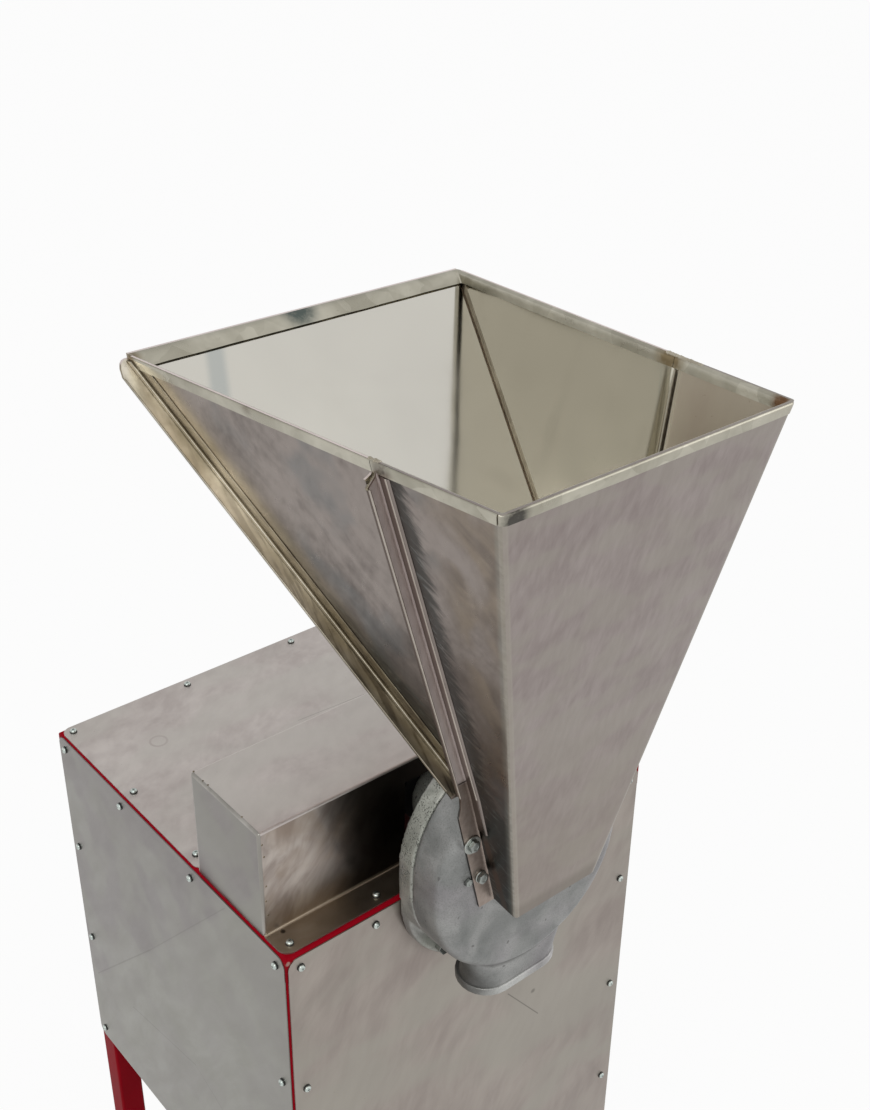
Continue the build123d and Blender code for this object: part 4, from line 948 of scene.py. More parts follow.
def turned_steel():
    f = Finish("turned steel")
    lines = f.noise(1.0 * mm, f.turned((0, 0, 0), (0.05, 1, 0.05)), detail=3.0)
    cloud = f.noise(30 * mm)
    color = f.mix(cloud, (150, 150, 150), (188, 186, 182))
    return f.surface(color, 0.3 + (lines - 0.5) * 0.2, 1.0, f.bump(lines, 0.02 * mm))


def plain_finish(name, dark, light, grain, rough, depth, metallic=0.0):
    """Moulded, painted or rubber surface with a fine texture and slow change of tone."""
    f = Finish(name)
    cloud = f.noise(40 * mm, detail=3.0)
    texture = f.noise(grain * mm, detail=3.0)
    color = f.mix(cloud, dark, light)
    roughness = rough + (texture - 0.5) * 0.16
    return f.surface(color, roughness, metallic, f.bump(texture, depth * mm))


# Scratches on the sheets: start, end and width in millimetres from the cabinet corner, and strength
front_marks = (
    ((48, -1.2, -220), (95, -1.2, -281), 0.9, 0.6),
    ((85, -1.2, -240), (85.5, -1.2, -240), 4.0, 0.55),
)
side_marks = (
    ((-226, 418, -347), (-226, 268, -193), 1.2, 0.3),
    ((-226, 268, -193), (-226, 98, -8), 1.0, 0.22),
    ((-226, 330, -330), (-226, 190, -300), 0.9, 0.35),
    ((-226, 190, -300), (-226, 120, -330), 0.9, 0.25),
)
top_marks = (
    ((-12, 286, 1), (79, 280, 1), 0.8, 0.3),
    ((-160, 150, 120), (-30, 148, 120), 0.7, 0.2),
)
top_rings = [((-150, 349, 1.2), 9)]
side_line = plane((0, 0.727, 0.686), spot_mm(0, 268, -193))
# Lit and shaded copies of one ground sheet: the top is painted lighter and the sides darker than the front,
# as light falls from above.
panel_front_finish = ground_sheet(
    "front ground sheet", (136, 126, 120), (167, 159, 151), (154, 151, 141),
    (0, 48, 0), 24 * mm, 0.4, front_marks)
shaded_side_sheet_finish = ground_sheet(
    "side ground sheet", (118, 113, 111), (142, 138, 135), (141, 140, 132),
    (52, 0, -90), 20 * mm, 0.38, side_marks, tinted_side=side_line)
lit_top_sheet_finish = ground_sheet(
    "top ground sheet", (170, 160, 156), (204, 197, 192), (192, 188, 181),
    (90, 20, 30), 20 * mm, 0.42, top_marks, top_rings)
guard_finish = guard_sheet_finish()
outside_finish = hopper_outside()
inside_finish = hopper_inside()
hem_finish = rim_sheet()
olive_finish = tinted_sheet("olive folded sheet", (122, 114, 98), (170, 162, 145), 0.38, burnt=0.6)
bright_olive_finish = tinted_sheet("bright olive edge", (134, 127, 112), (176, 169, 154), 0.36)
flange_finish = tinted_sheet("folded flange", (188, 180, 162), (246, 239, 224), 0.38, burnt=0.6)
rib_finish = tinted_sheet("mauve folded sheet", (112, 103, 98), (148, 138, 132), 0.36, 7.4 * mm)
# Lighter copy of the rib's sheet: painted highlight on the front leaf's edge and on the ridge.
rib_edge_highlight_finish = tinted_sheet("bright folded edge", (150, 141, 132), (190, 182, 172), 0.34)
# Lighter sheet for the guard's bare and rounded edges: painted highlight along them.
sheet_edge_highlight_finish = tinted_sheet("worn sheet edge", (142, 139, 133), (180, 176, 170), 0.38)
rough_cast_finish = casting("rough casting", (132, 134, 126), (182, 183, 174), 1.0, 0.52)
smooth_cast_finish = casting("smooth casting", (118, 120, 118), (156, 156, 154), 0.2, 0.48)
lip_finish = casting("machined lip", (140, 141, 138), (192, 192, 189), 0.5, 0.4)
red_finish = enamel()
zinc_finish = zinc("zinc plate", (168, 182, 180), (204, 208, 200), 0.28)
washer_finish = zinc("washer plate", (150, 155, 151), (186, 189, 183), 0.34)
dull_zinc_finish = zinc("dull zinc plate", (126, 131, 129), (160, 163, 157), 0.38)
steel_finish = turned_steel()
iron_finish = plain_finish("cast iron wheel", (58, 58, 60), (78, 77, 76), 1.2, 0.52, 0.1, 0.8)
belt_finish = plain_finish("belt rubber", (26, 26, 27), (38, 37, 37), 0.9, 0.72, 0.12)
black_finish = plain_finish("black plastic", (24, 24, 25), (34, 34, 35), 0.7, 0.5, 0.05)
motor_finish = plain_finish("motor paint", (104, 110, 114), (122, 127, 130), 1.4, 0.46, 0.08)
starter_finish = plain_finish("starter plastic", (176, 177, 174), (190, 190, 186), 0.8, 0.46, 0.05)
lid_finish = plain_finish("starter lid plastic", (58, 60, 62), (70, 72, 74), 0.8, 0.44, 0.05)
green_finish = plain_finish("green button", (20, 118, 58), (28, 134, 68), 0.9, 0.34, 0.03)
stop_finish = plain_finish("red button", (176, 24, 26), (194, 34, 32), 0.9, 0.34, 0.03)


def dress(finish, *nodes):
    """Give CAD nodes a finish."""
    for node in nodes:
        mesh = frame["nodes"][node].data
        mesh.materials.clear()
        mesh.materials.append(finish)


# Hopper, front shell: flanks and front wall folded from one sheet, with a leaf at each seam
shell_base = moved(chute_floor, -hopper_sheet)
shell_height = rim_front_rise - chute_tail_rise
shell_rows = 48
wall_steps = 10
front_steps = 16
fold_steps = 4
bend_steps = 6
leaf_keys = 3
flat_first = leaf_keys + fold_steps
flat_last = flat_first + wall_steps


def shell_level(t, drop=0.0):
    """Plane across the front shell at a share of its height; the drop is that of its upper edge."""
    return mixed(shell_base, rim_level, t * (1 - drop / shell_height))


def leaf_width(wall, flat):
    """Width of the seam's leaf at a level: wide where it is bolted to the drum, narrow above."""
    under = seam_foot.z - seam_point(wall, hopper_sheet, 0.0, flat).z
    return rib_width + (rib_foot_width - rib_width) * min(1.0, max(0.0, under / rib_step))


def fold_place(k, thick):
    """Distances out of the wall and away from the leaf, at a step of the round fold between them."""
    turn = math.pi / 2 * k / fold_steps
    inner = fold_radius - thick
    return fold_radius - inner * math.sin(turn), fold_radius - inner * math.cos(turn)


def front_keys(wall, t, thick):
    """Points of one half of the front shell at one level, from the leaf's tip to the front corner."""
    keys = []
    width = leaf_width(wall, shell_level(t))
    for out in (hopper_sheet + width, hopper_sheet + width / 2, hopper_sheet + fold_radius):
        drop = hem_height + rib_drop + rib_cut * (out - hopper_sheet) / width
        keys.append(seam_point(wall, out, thick, shell_level(t, drop)))
    for k in range(1, fold_steps + 1):
        out, ahead = fold_place(k, thick)
        keys.append(seam_point(wall, out, ahead, shell_level(t, hem_height * (1 - k / fold_steps))))
    for k in range(bend_steps + 1):
        keys.append(bend_point(wall, front_wall, k / bend_steps, hopper_sheet, thick, shell_level(t)))
    return keys


def wavy(point, wall, edge):
    """Point of a sheet moved by its slow buckles, which die out towards its edges."""
    lift = noise.noise(point / wave_length) + 0.5 * noise.noise(point / (0.4 * wave_length))
    return point + wall[0] * lift * sheet_wave * edge


def buckled(points, wall, first, last, inset, slope=0.35):
    """Row of points with its buckles, between its first and last flat ones."""
    edges = [inset * min(1.0, slope * max(0, min(k - first, last - k))) for k in range(len(points))]
    return [wavy(point, wall, edge) for point, edge in zip(points, edges)]


def divided(keys):
    """Keys with the long gap between fold and corner divided."""
    fold_end = flat_first - 1
    wall = [keys[fold_end].lerp(keys[flat_first], s / wall_steps) for s in range(wall_steps)]
    return keys[:fold_end] + wall + keys[flat_first:]


def front_shell():
    """Front shell as one bent sheet, and the floor of its chute."""
    grids = []
    for thick in (0.0, hopper_sheet):
        rows = []
        for r in range(shell_rows + 1):
            t = r / shell_rows
            left, right = [divided(front_keys(wall, t, thick)) for wall in (left_wall, right_wall)]
            middle = [left[-1].lerp(right[-1], s / front_steps) for s in range(1, front_steps)]
            inset = min(1.0, 6 * min(t, 1 - t))
            row = buckled(left, left_wall, flat_first, flat_last, inset)
            row += buckled(middle, front_wall, 0, front_steps - 2, inset)
            row += buckled(right, right_wall, flat_first, flat_last, inset)[::-1]
            rows.append(row)
        grids.append(rows)
    work = bmesh.new()
    skin(work, *grids)
    pairs = ((left_wall, front_wall), (right_wall, front_wall), (right_wall, seam_low), (left_wall, seam_low))
    corners = [meet(side, end, chute_floor) for side, end in pairs]
    sweep(work, [corners, [p - chute_floor[0] * hopper_sheet for p in corners]])
    return mesh_of(work)


def bar(work, first, second, start, end, outline, steps=1, finish=0):
    """Strip along the line where two planes meet; its outline is in distances out of each."""
    sections = []
    for s in range(steps + 1):
        flat = mixed(start, end, s / steps)
        sections.append([meet(moved(first, u), moved(second, w), flat) for u, w in outline])
    sweep(work, sections, finish)


def oblong(low, high, radius, steps=4):
    """Rounded oblong between two corners."""
    (a, b), (c, d) = low, high
    return rounded([(a, b), (c, b), (c, d), (a, d)], radius, steps)


def under_rim(drop):
    return moved(rim_level, -drop)


def seam_trim(wall):
    """Edges of the rib's two leaves, and the strip beside the rib with its bright ridge."""
    work = bmesh.new()
    tip = hopper_sheet + rib_width
    top = under_rim(hem_height + rib_drop + rib_cut)
    foot = level(foot_rise + 2 * mm)
    # Painted highlight: the front leaf's edge and the ridge take the lighter second finish.
    front_edge = oblong((tip - 1.1 * mm, -hopper_sheet - 0.3 * mm), (tip + 0.2 * mm, -0.2 * mm), 0.7 * mm)
    bar(work, wall, seam_high, foot, top, front_edge, trim_steps, 1)
    back_edge = oblong((tip - 5.0 * mm, 0.7 * mm), (tip - 0.4 * mm, rib_gap + 0.1 * mm), 0.7 * mm)
    bar(work, wall, seam_high, foot, top, back_edge, trim_steps)
    strip_top = under_rim(hem_height + rib_drop + 1.0 * mm)
    far = -hopper_sheet - bead_width
    crest = -hopper_sheet - 0.68 * bead_width
    buried, high = hopper_sheet - 0.5 * mm, hopper_sheet + 0.5 * bead_height
    strip = [
        (buried, far), (hopper_sheet + 0.4 * mm, far), (high - 0.2 * mm, far + 1.0 * mm),
        (high, crest), (high - 0.4 * mm, crest + 2.0 * mm),
        (hopper_sheet + 0.6 * mm, -hopper_sheet), (buried, -hopper_sheet),
    ]
    bar(work, wall, seam_high, level(foot_rise), strip_top, strip, trim_steps)
    bar(work, wall, seam_low, level(bead_foot), level(foot_rise), strip, trim_foot_steps)
    ridge = oblong((high - 1.2 * mm, crest - 0.9 * mm), (high + 0.5 * mm, crest + 0.9 * mm), 0.8 * mm)
    bar(work, wall, seam_high, level(foot_rise), strip_top, ridge, trim_steps, 1)
    return mesh_of(work, trim_sharp_from)


# Hopper, rear shell: two flanks and the sloping rear wall, which stands out past them as a flange
behind_seam = moved(seam_high, rib_gap)
leaf_foot = level(foot_rise + rib_gap)
flank_end = moved(rear_wall, -joint_gap)
flank_first = leaf_keys + fold_steps
flank_rows = 24
flank_columns = 16
plate_rows = 30
plate_columns = 14
flange_steps = 5


def rear_strips(wall, thick):
    """Low and high ends of a rear flank's strips, from the tip of its leaf round the fold to the corner."""
    strips = []
    for out in (rib_width - 0.3 * mm, 0.6 * rib_width, hopper_sheet + fold_radius):
        drop = hem_height + rib_drop + 0.5 * rib_cut * (out - hopper_sheet) / rib_width
        back = moved(seam_high, rib_gap + thick)
        strips.append([meet(moved(wall, out), back, flat) for flat in (leaf_foot, under_rim(drop))])
    for k in range(fold_steps + 1):
        out, behind = fold_place(k, thick)
        back = moved(seam_high, rib_gap + behind)
        drop = hem_height * (1 - k / fold_steps)
        foot = mixed(leaf_foot, flank_end, k / fold_steps)
        strips.append([meet(moved(wall, out), back, flat) for flat in (foot, under_rim(drop))])
    end = meet(moved(wall, thick), rim_level, flank_end)
    fold_end = strips[-1]
    for s in range(1, flank_rows + 1):
        strips.append([point.lerp(end, s / flank_rows) for point in fold_end])
    return strips


def rear_flank(work, wall):
    grids = []
    for thick in (0.0, hopper_sheet):
        rows = []
        for r, (low, high) in enumerate(rear_strips(wall, thick)):
            s = max(0.0, (r - flank_first) / flank_rows)
            edge = min(1.0, 5 * s, 5 * (1 - s))
            shares = [c / flank_columns for c in range(flank_columns + 1)]
            rows.append([wavy(low.lerp(high, t), wall, edge * min(1.0, 5 * t, 5 * (1 - t))) for t in shares])
        grids.append(rows)
    skin(work, *grids)


def flange_point(wall, out, thick, t):
    """Point of the rear plate at a distance out of a side wall and a share of its height."""
    share = max(0.0, (out - hopper_sheet) / rear_flange)
    drop = (rear_flange_drop + rear_flange_cut * share**3) if out > 0 else 0.0
    low = meet(moved(wall, out), moved(rear_wall, thick), behind_seam)
    high = meet(moved(wall, out), moved(rear_wall, thick), under_rim(drop))
    return low.lerp(high, t)


def rear_plate(work):
    outs = [hopper_sheet + rear_flange * k / flange_steps for k in range(flange_steps, -1, -1)] + [0.0]
    grids = []
    for thick in (0.0, hopper_sheet):
        rows = []
        for r in range(plate_rows + 1):
            t = r / plate_rows
            left = [flange_point(left_wall, out, thick, t) for out in outs]
            right = [flange_point(right_wall, out, thick, t) for out in outs[::-1]]
            between = [left[-1].lerp(right[0], k / plate_columns) for k in range(1, plate_columns)]
            inset = min(1.0, 6 * t, 6 * (1 - t))
            rows.append(left + buckled(between, rear_wall, 0, plate_columns - 2, inset, 0.4) + right)
        grids.append(rows)
    skin(work, *grids)


def rear_shell():
    work = bmesh.new()
    rear_flank(work, left_wall)
    rear_flank(work, right_wall)
    rear_plate(work)
    for face in work.faces:
        middle = face.calc_center_median()
        reach = max(normal.dot(middle) - out for normal, out in (left_wall, right_wall))
        if reach > hopper_sheet and face.material_index == 1:
            face.material_index = 2
    return mesh_of(work)


def rear_trim(wall):
    """Lap on the flank, bead in the corner of the fold, and bright edge of the flange."""
    work = bmesh.new()
    top = under_rim(hem_height - 1.0 * mm)
    foot = moved(behind_seam, 4 * mm)
    lap = oblong((hopper_sheet - 0.2 * mm, -lap_width), (hopper_sheet + 0.9 * mm, 0.0), 0.6 * mm)
    bar(work, wall, rear_wall, foot, top, lap, trim_steps)
    bead = oblong((hopper_sheet + 0.2 * mm, -4.0 * mm), (hopper_sheet + 3.6 * mm, 0.4 * mm), 1.8 * mm)
    bar(work, wall, rear_wall, foot, under_rim(hem_height * 0.4), bead, trim_steps, 1)
    tip = hopper_sheet + rear_flange
    edge = oblong((tip - 1.0 * mm, -1.0 * mm), (tip + 0.2 * mm, hopper_sheet + 0.2 * mm), 0.6 * mm)
    bar(work, wall, rear_wall, foot, under_rim(rear_flange_drop + rear_flange_cut), edge, trim_steps, 1)
    return mesh_of(work, trim_sharp_from)


# Hopper rim: a hem folded over the edge, in three lengths that meet at the seams and at one corner
def hem_outline():
    """Section of the hem, as distances out of the wall and below the rim."""
    out, back = hopper_sheet + hem_sheet, -hem_stand
    crown = (out - back) / 2
    middle = (out + back) / 2
    arc = [(middle + crown * math.cos(a), crown * (1 - math.sin(a))) for a in turns(math.pi, 10)]
    straight_end = 0.6 * hem_height
    outer = [(out, hem_height), (out, straight_end)] + arc + [(back, straight_end), (back, hem_height)]
    leaf = 0.8 * hem_sheet
    low, high = back + leaf, out - leaf
    return outer + [(low, hem_height), (low, crown + leaf), (high, crown + leaf), (high, hem_height)]


def hem_run(work, stations):
    """Hem through stations, each a function of the distance out of the wall and below the rim."""
    sections = []
    for station in stations:
        section = []
        for out, drop in hem_outline():
            point = station(out, drop)
            sway = noise.noise(point / hem_sway_length) if drop > 0.9 * hem_height else 0.0
            section.append(station(out + (hem_sway_in * sway if out < 0 else 0.0), drop + hem_sway * sway))
        sections.append(section)
    sweep(work, sections)


def straight(first, second, steps):
    """Stations between two others."""
    made = []
    for s in range(steps + 1):
        made.append(lambda out, drop, t=s / steps: first(out, drop).lerp(second(out, drop), t))
    return made


def corner(first, second, start=0.0, end=1.0, steps=6):
    """Stations round the corner between two walls."""
    made = []
    for s in range(steps + 1):
        share = start + (end - start) * s / steps
        made.append(lambda out, drop, t=share: bend_point(first, second, t, hem_corner, out, under_rim(drop)))
    return made


def at_seam(wall, ahead):
    """Station of the hem at the seam, or ahead of it."""
    return lambda out, drop: meet(moved(wall, out), moved(seam_high, -ahead), under_rim(drop))


def front_hem():
    work = bmesh.new()
    slit = corner(left_wall, front_wall, 0.0, 0.12, 2)
    start, end = [at_seam(wall, hem_slit - rib_gap) for wall in (left_wall, right_wall)]
    hem_run(work, straight(start, slit[0], hem_front_flank_steps)[:-1] + slit)
    turn = corner(left_wall, front_wall, 0.24, 1.0)
    far = corner(front_wall, right_wall)
    run = turn[:-1] + straight(turn[-1], far[0], hem_front_steps)[:-1] + far[:-1]
    hem_run(work, run + straight(far[-1], end, hem_front_flank_steps))
    return mesh_of(work, bent_sharp_from)


def back_hem():
    work = bmesh.new()
    near = corner(left_wall, rear_wall)
    far = corner(rear_wall, right_wall)
    start, end = [at_seam(wall, -rib_gap) for wall in (left_wall, right_wall)]
    run = straight(start, near[0], hem_back_flank_steps)[:-1] + near[:-1]
    run += straight(near[-1], far[0], hem_back_steps)[:-1] + far[:-1]
    hem_run(work, run + straight(far[-1], end, hem_back_flank_steps))
    return mesh_of(work, bent_sharp_from)


front_finishes = [outside_finish, inside_finish]
rear_finishes = [outside_finish, inside_finish, flange_finish]
rib_finishes = [rib_finish, rib_edge_highlight_finish]
# The lap's lighter second finish is a painted highlight on the bead in the fold and on the flange's edge; it
# also colours the hem welds.
lap_finishes = [olive_finish, bright_olive_finish]
sheet_piece("hopper_front_sheet", front_shell(), front_finishes, "hopper_front_shell")
sheet_piece("hopper_rear_sheet", rear_shell(), rear_finishes, "hopper_rear_shell")
for side_name, wall in (("left", left_wall), ("right", right_wall)):
    sheet_piece(f"hopper_rib_{side_name}", seam_trim(wall), rib_finishes, "hopper_front_shell")
    sheet_piece(f"hopper_lap_{side_name}", rear_trim(wall), lap_finishes, "hopper_rear_shell")
sheet_piece("hopper_hem_front", front_hem(), [hem_finish], "hopper_front_shell")
sheet_piece("hopper_hem_back", back_hem(), [hem_finish], "hopper_rear_shell")


# Belt guard: one sheet bent over the belt, closed with a plate at each end
def guard_path():
    """Bent line of the guard's outer face, from the edge of its foot to the foot of its back, as (y, z)."""
    near, far = front_y + guard_front, guard_high.y
    low, high = guard_low.z, guard_high.z
    bend = guard_bend
    lip = [guard_lip_corner * share for share in (0.0, 0.06, 0.18, 0.36, 0.62, 1.0)]
    floor_z = low + guard_sheet
    foot_turns = turns(math.pi / 2, 5)[1:]
    top_turns = turns(math.pi / 2, 6)
    path = [(guard_low.y + reach, floor_z) for reach in lip] + [(near - bend, floor_z)]
    path += [(near - bend + bend * math.sin(a), floor_z + bend * (1 - math.cos(a))) for a in foot_turns]
    path += [(near, cabinet_top + guard_window_low), (near, cabinet_top + guard_window_high)]
    path += [(near + bend * (1 - math.cos(a)), high - bend + bend * math.sin(a)) for a in top_turns]
    path += [(far - bend + bend * math.sin(a), high - bend + bend * math.cos(a)) for a in top_turns]
    return path + [(far, low)]


def guard_cover(finishes):
    """Bent cover; its finishes are for front and foot, for top and back, and for the bare edges of both."""
    columns = [guard_low.x, -guard_window_half, guard_window_half, guard_high.x]
    xs = []
    for a, b, count in zip(columns, columns[1:], (14, 8, 14)):
        xs += [a + (b - a) * k / count for k in range(count)]
    xs.append(columns[-1])
    path = guard_path()
    work = bmesh.new()
    grid = []
    for y, z in path:
        short = max(0.0, guard_lip_corner - (y - guard_low.y))
        trim = guard_lip_corner - math.sqrt(max(0.0, guard_lip_corner**2 - short**2))
        if z > guard_low.z + guard_sheet + 0.9 * guard_bend:
            trim = guard_end_round + guard_end_joint
        scale = 1 - trim / guard_high.x
        grid.append([work.verts.new((x * scale, y, z)) for x in xs])
    window = path.index((front_y + guard_front, cabinet_top + guard_window_low))
    top = path.index((front_y + guard_front, guard_high.z - guard_bend))
    for r in range(len(path) - 1):
        for c in range(len(xs) - 1):
            middle = (xs[c] + xs[c + 1]) / 2
            if r == window and abs(middle) < guard_window_half:
                continue
            face = work.faces.new((grid[r][c], grid[r][c + 1], grid[r + 1][c + 1], grid[r + 1][c]))
            face.material_index = 0 if r < top else 1
    mesh = bare_mesh(work)
    for finish in finishes:
        mesh.materials.append(finish)
    solid = {"thickness": guard_sheet, "offset": -1.0, "use_even_offset": True, "material_offset_rim": 2}
    return smooth(finished(mesh, ("SOLIDIFY", solid)))


def guard_end(side):
    """End plate with its edges rounded over, welded to the bent cover."""
    near, far = front_y + guard_front, guard_high.y
    edge = guard_low.x if side < 0 else guard_high.x
    arc = turns(math.pi / 2, 5)
    steps = [(guard_end_round * (1 - math.sin(a)), guard_end_round * (1 - math.cos(a))) for a in arc]
    steps.append((0.0, guard_end_round + 2 * guard_end_joint))
    sections = []
    for inset, depth in steps:
        outline = oblong((near + inset, guard_low.z), (far - inset, guard_high.z - inset), guard_bend, 5)
        sections.append([(edge - side * depth, y, z) for y, z in outline])
    work = bmesh.new()
    sweep(work, sections, 1)
    for face in work.faces:
        if len(face.verts) > 4:
            face.material_index = 0
    return mesh_of(work, bent_sharp_from)


cover_finishes = [guard_finish, lit_top_sheet_finish, sheet_edge_highlight_finish, sheet_edge_highlight_finish]
sheet_piece("belt_guard_cover", guard_cover(cover_finishes), [], "belt_guard")
end_finishes = [shaded_side_sheet_finish, sheet_edge_highlight_finish]
for side_name, side in (("left", -1), ("right", 1)):
    sheet_piece(f"belt_guard_end_{side_name}", guard_end(side), end_finishes, "belt_guard")

# Sheets, castings and frame
for panel, sheet_finish in (
    ("front", panel_front_finish), ("back", panel_front_finish),
    ("left", shaded_side_sheet_finish), ("right", shaded_side_sheet_finish), ("top", lit_top_sheet_finish),
):
    softened(f"{panel}_panel", sheet_edge, sheet_finish)
cast("mill_back_housing", 3, rough_cast_finish)
cast("mill_front_housing", 4, smooth_cast_finish)


def spout_lip():
    """Ring ground bright round the mouth of the spout."""
    middle = spot(0, -spout_setback, spout_lip_low)
    straight_half = spout_half - spout_deep
    lip = oblong((-lip_inset, 0.0), (lip_proud, spout_lip_height), lip_round, 5)
    sections = []
    for side, start in ((1, 0.5), (-1, 1.5)):
        base = middle + across * side * straight_half
        for k in range(lip_steps + 1):
            turn = math.pi * (start - k / lip_steps)
            out = Vector((math.cos(turn), math.sin(turn), 0))
            sections.append([base + out * (spout_deep + u) + Vector((0, 0, v)) for u, v in lip])
    work = bmesh.new()
    sweep(work, sections, ring=True)
    return mesh_of(work, trim_sharp_from)


piece("spout_lip", spout_lip(), [lip_finish], ["mill_front_housing"])
legs = ("leg_front_left", "leg_front_right", "leg_back_left", "leg_back_right")


def corner_welds():
    """Ground weld bands where the legs meet the top rails."""
    work = bmesh.new()
    proud = Vector((leg_weld_proud, leg_weld_proud))
    profile = ((-6.0, 0.5), (-4.5, 0.1), (-3.0, 0.0), (3.0, 0.0), (4.5, 0.1), (6.0, 0.5))
    for name in legs:
        low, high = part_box(name)
        outline = oblong(low.xy - proud, high.xy + proud, leg_weld_round, 5)
        centre = (low.xy + high.xy) / 2
        sections = []
        for rise, inset in profile:
            ring = [centre + (Vector(p) - centre) * (1 - inset * mm / leg_half) for p in outline]
            sections.append([(x, y, high.z + rise * mm) for x, y in ring])
        sweep(work, sections)
    return mesh_of(work, bent_sharp_from)


piece("frame_corner_welds", corner_welds(), [red_finish])
dress(red_finish, *legs)
for name in ("front", "back", "left", "right"):
    dress(red_finish, f"top_rail_{name}", f"lower_rail_{name}")
dress(red_finish, "guard_cross_rail", "motor_rails", "mill_mount_plate")
dress(black_finish, "foot_plugs", "shaft_seal", "starter_gland", "motor_fan")
dress(steel_finish, "mill_shaft", "rotor_disc", "rotor_beaters", "sieve_ring", "mill_bearings",
      "bearing_inner_races", "motor_shaft", "motor_bearings", "bearing_circlip", "mill_keys", "motor_key")
dress(iron_finish, "mill_pulley", "motor_pulley")
dress(belt_finish, "drive_belt")
dress(motor_finish, "motor_frame", "motor_end_shields", "motor_fan_cover", "motor_terminal_box")
softened("starter_box", box_edge, starter_finish)
softened("starter_cover", lid_edge, lid_finish)
softened("start_button", button_edge, green_finish)
softened("stop_button", button_edge, stop_finish)
softened("mill_mount_bolts", bolt_edge, dull_zinc_finish)
dress(zinc_finish, "housing_bolts", "motor_bolts", "rotor_nut", "mill_pulley_bolt")


# Fasteners, set on points by one node tree
def growing_tree(name, inputs):
    """Empty tree that grows pieces, with its named inputs, and the node that gives them."""
    group = bpy.data.node_groups.new(name, "GeometryNodeTree")
    for label, kind in inputs.items():
        group.interface.new_socket(label, in_out="INPUT", socket_type=f"NodeSocket{kind}")
    group.interface.new_socket("Pieces", in_out="OUTPUT", socket_type="NodeSocketGeometry")
    t = Tree(group)
    return t, t.node("NodeGroupInput")


def grow_copies(t, given, pattern, points, **values):
    """End of a tree: real copies of the pattern on points, in the given finish."""
    shape = t.node("GeometryNodeObjectInfo", {}, {"Object": given.part(pattern)}, output="Geometry")
    copies = t.node("GeometryNodeInstanceOnPoints", {}, {"Points": points, "Instance": shape, **values})
    real = t.node("GeometryNodeRealizeInstances", {}, {"Geometry": copies})
    dressed = t.node("GeometryNodeSetMaterial", {}, {"Geometry": real, "Material": given.part("Finish")})
    t.node("NodeGroupOutput", {}, {"Pieces": dressed})


def fastener_tree():
    """Sets copies of a pattern on points, its z axis along their aim, each with its own spin."""
    t, given = growing_tree("fasteners", {
        "Places": "Geometry", "Pattern": "Object", "Finish": "Material", "Spin": "Float", "Seed": "Int"})
    aim = t.node("GeometryNodeInputNamedAttribute", {"data_type": "FLOAT_VECTOR"}, {"Name": "aim"})
    upright = t.node("FunctionNodeAlignRotationToVector", {"axis": "Z"}, {"Vector": aim})
    angle = t.node("FunctionNodeRandomValue", {"data_type": "FLOAT"}, {"Seed": given.part("Seed")}, output=1)
    turn = t.node("FunctionNodeAxisAngleToRotation", {}, {"Angle": angle * given.part("Spin")})
    values = {"Rotation": upright, "Rotate By": turn}
    spun = t.node("FunctionNodeRotateRotation", {"rotation_space": "LOCAL"}, values)
    grow_copies(t, given, "Pattern", given.part("Places"), Rotation=spun)
    return t.tree


fasteners = fastener_tree()


def grown(source, tree, values, pattern, shape):
    """Plain mesh that a node tree makes of a source mesh, with its named inputs and its pattern set."""
    sample = linked("pattern", shape)
    holder = linked("holder", source)
    modifier = holder.modifiers.new("grow", "NODES")
    modifier.node_group = tree
    for item in tree.interface.items_tree:
        if item.name in values:
            modifier[item.identifier] = values[item.name]
        elif item.name == pattern:
            modifier[item.identifier] = sample
    mesh = plain(holder)
    bpy.data.objects.remove(sample)
    mesh.materials.clear()
    return mesh


def fastened(name, places, pattern, finish, nodes, seed):
    """Piece with a copy of a pattern at each place, a point and the direction its head faces."""
    points = bpy.data.meshes.new(name)
    points.from_pydata([point for point, _ in places], [], [])
    aims = points.attributes.new("aim", "FLOAT_VECTOR", "POINT")
    aims.data.foreach_set("vector", [v for _, aim in places for v in aim])
    values = {"Finish": finish, "Spin": 2 * math.pi, "Seed": seed}
    piece(name, grown(points, fasteners, values, "Pattern", pattern), [finish], nodes)


def pan_screw():
    """Domed head with a cross recess, and its shank."""
    r, h = screw_head_radius, screw_head_height
    shank = screw_shank_radius
    dome = [(r * math.cos(a), 0.35 * h + 0.65 * h * math.sin(a)) for a in turns(math.pi / 2, 6)[:-1]]
    stem = [(needle, -screw_reach), (shank, screw_tip - screw_reach), (shank, 0.0)]
    profile = stem + [(0.94 * r, 0.0), (r, 0.1 * h)] + dome + [(needle, h)]
    head = mesh_of(lathe(profile, 28), merge=same_turned_point)
    arm, half = 0.56 * r, 0.11 * r
    cross = [(arm, half), (half, half), (half, arm), (-half, arm), (-half, half), (-arm, half),
             (-arm, -half), (-half, -half), (-half, -arm), (half, -arm), (half, -half), (arm, -half)]
    work = bmesh.new()
    sweep(work, [[(x * s, y * s, z) for x, y in cross] for s, z in ((0.6, 0.35 * h), (1.0, 1.4 * h))])
    return cut(head, mesh_of(work), "DIFFERENCE")


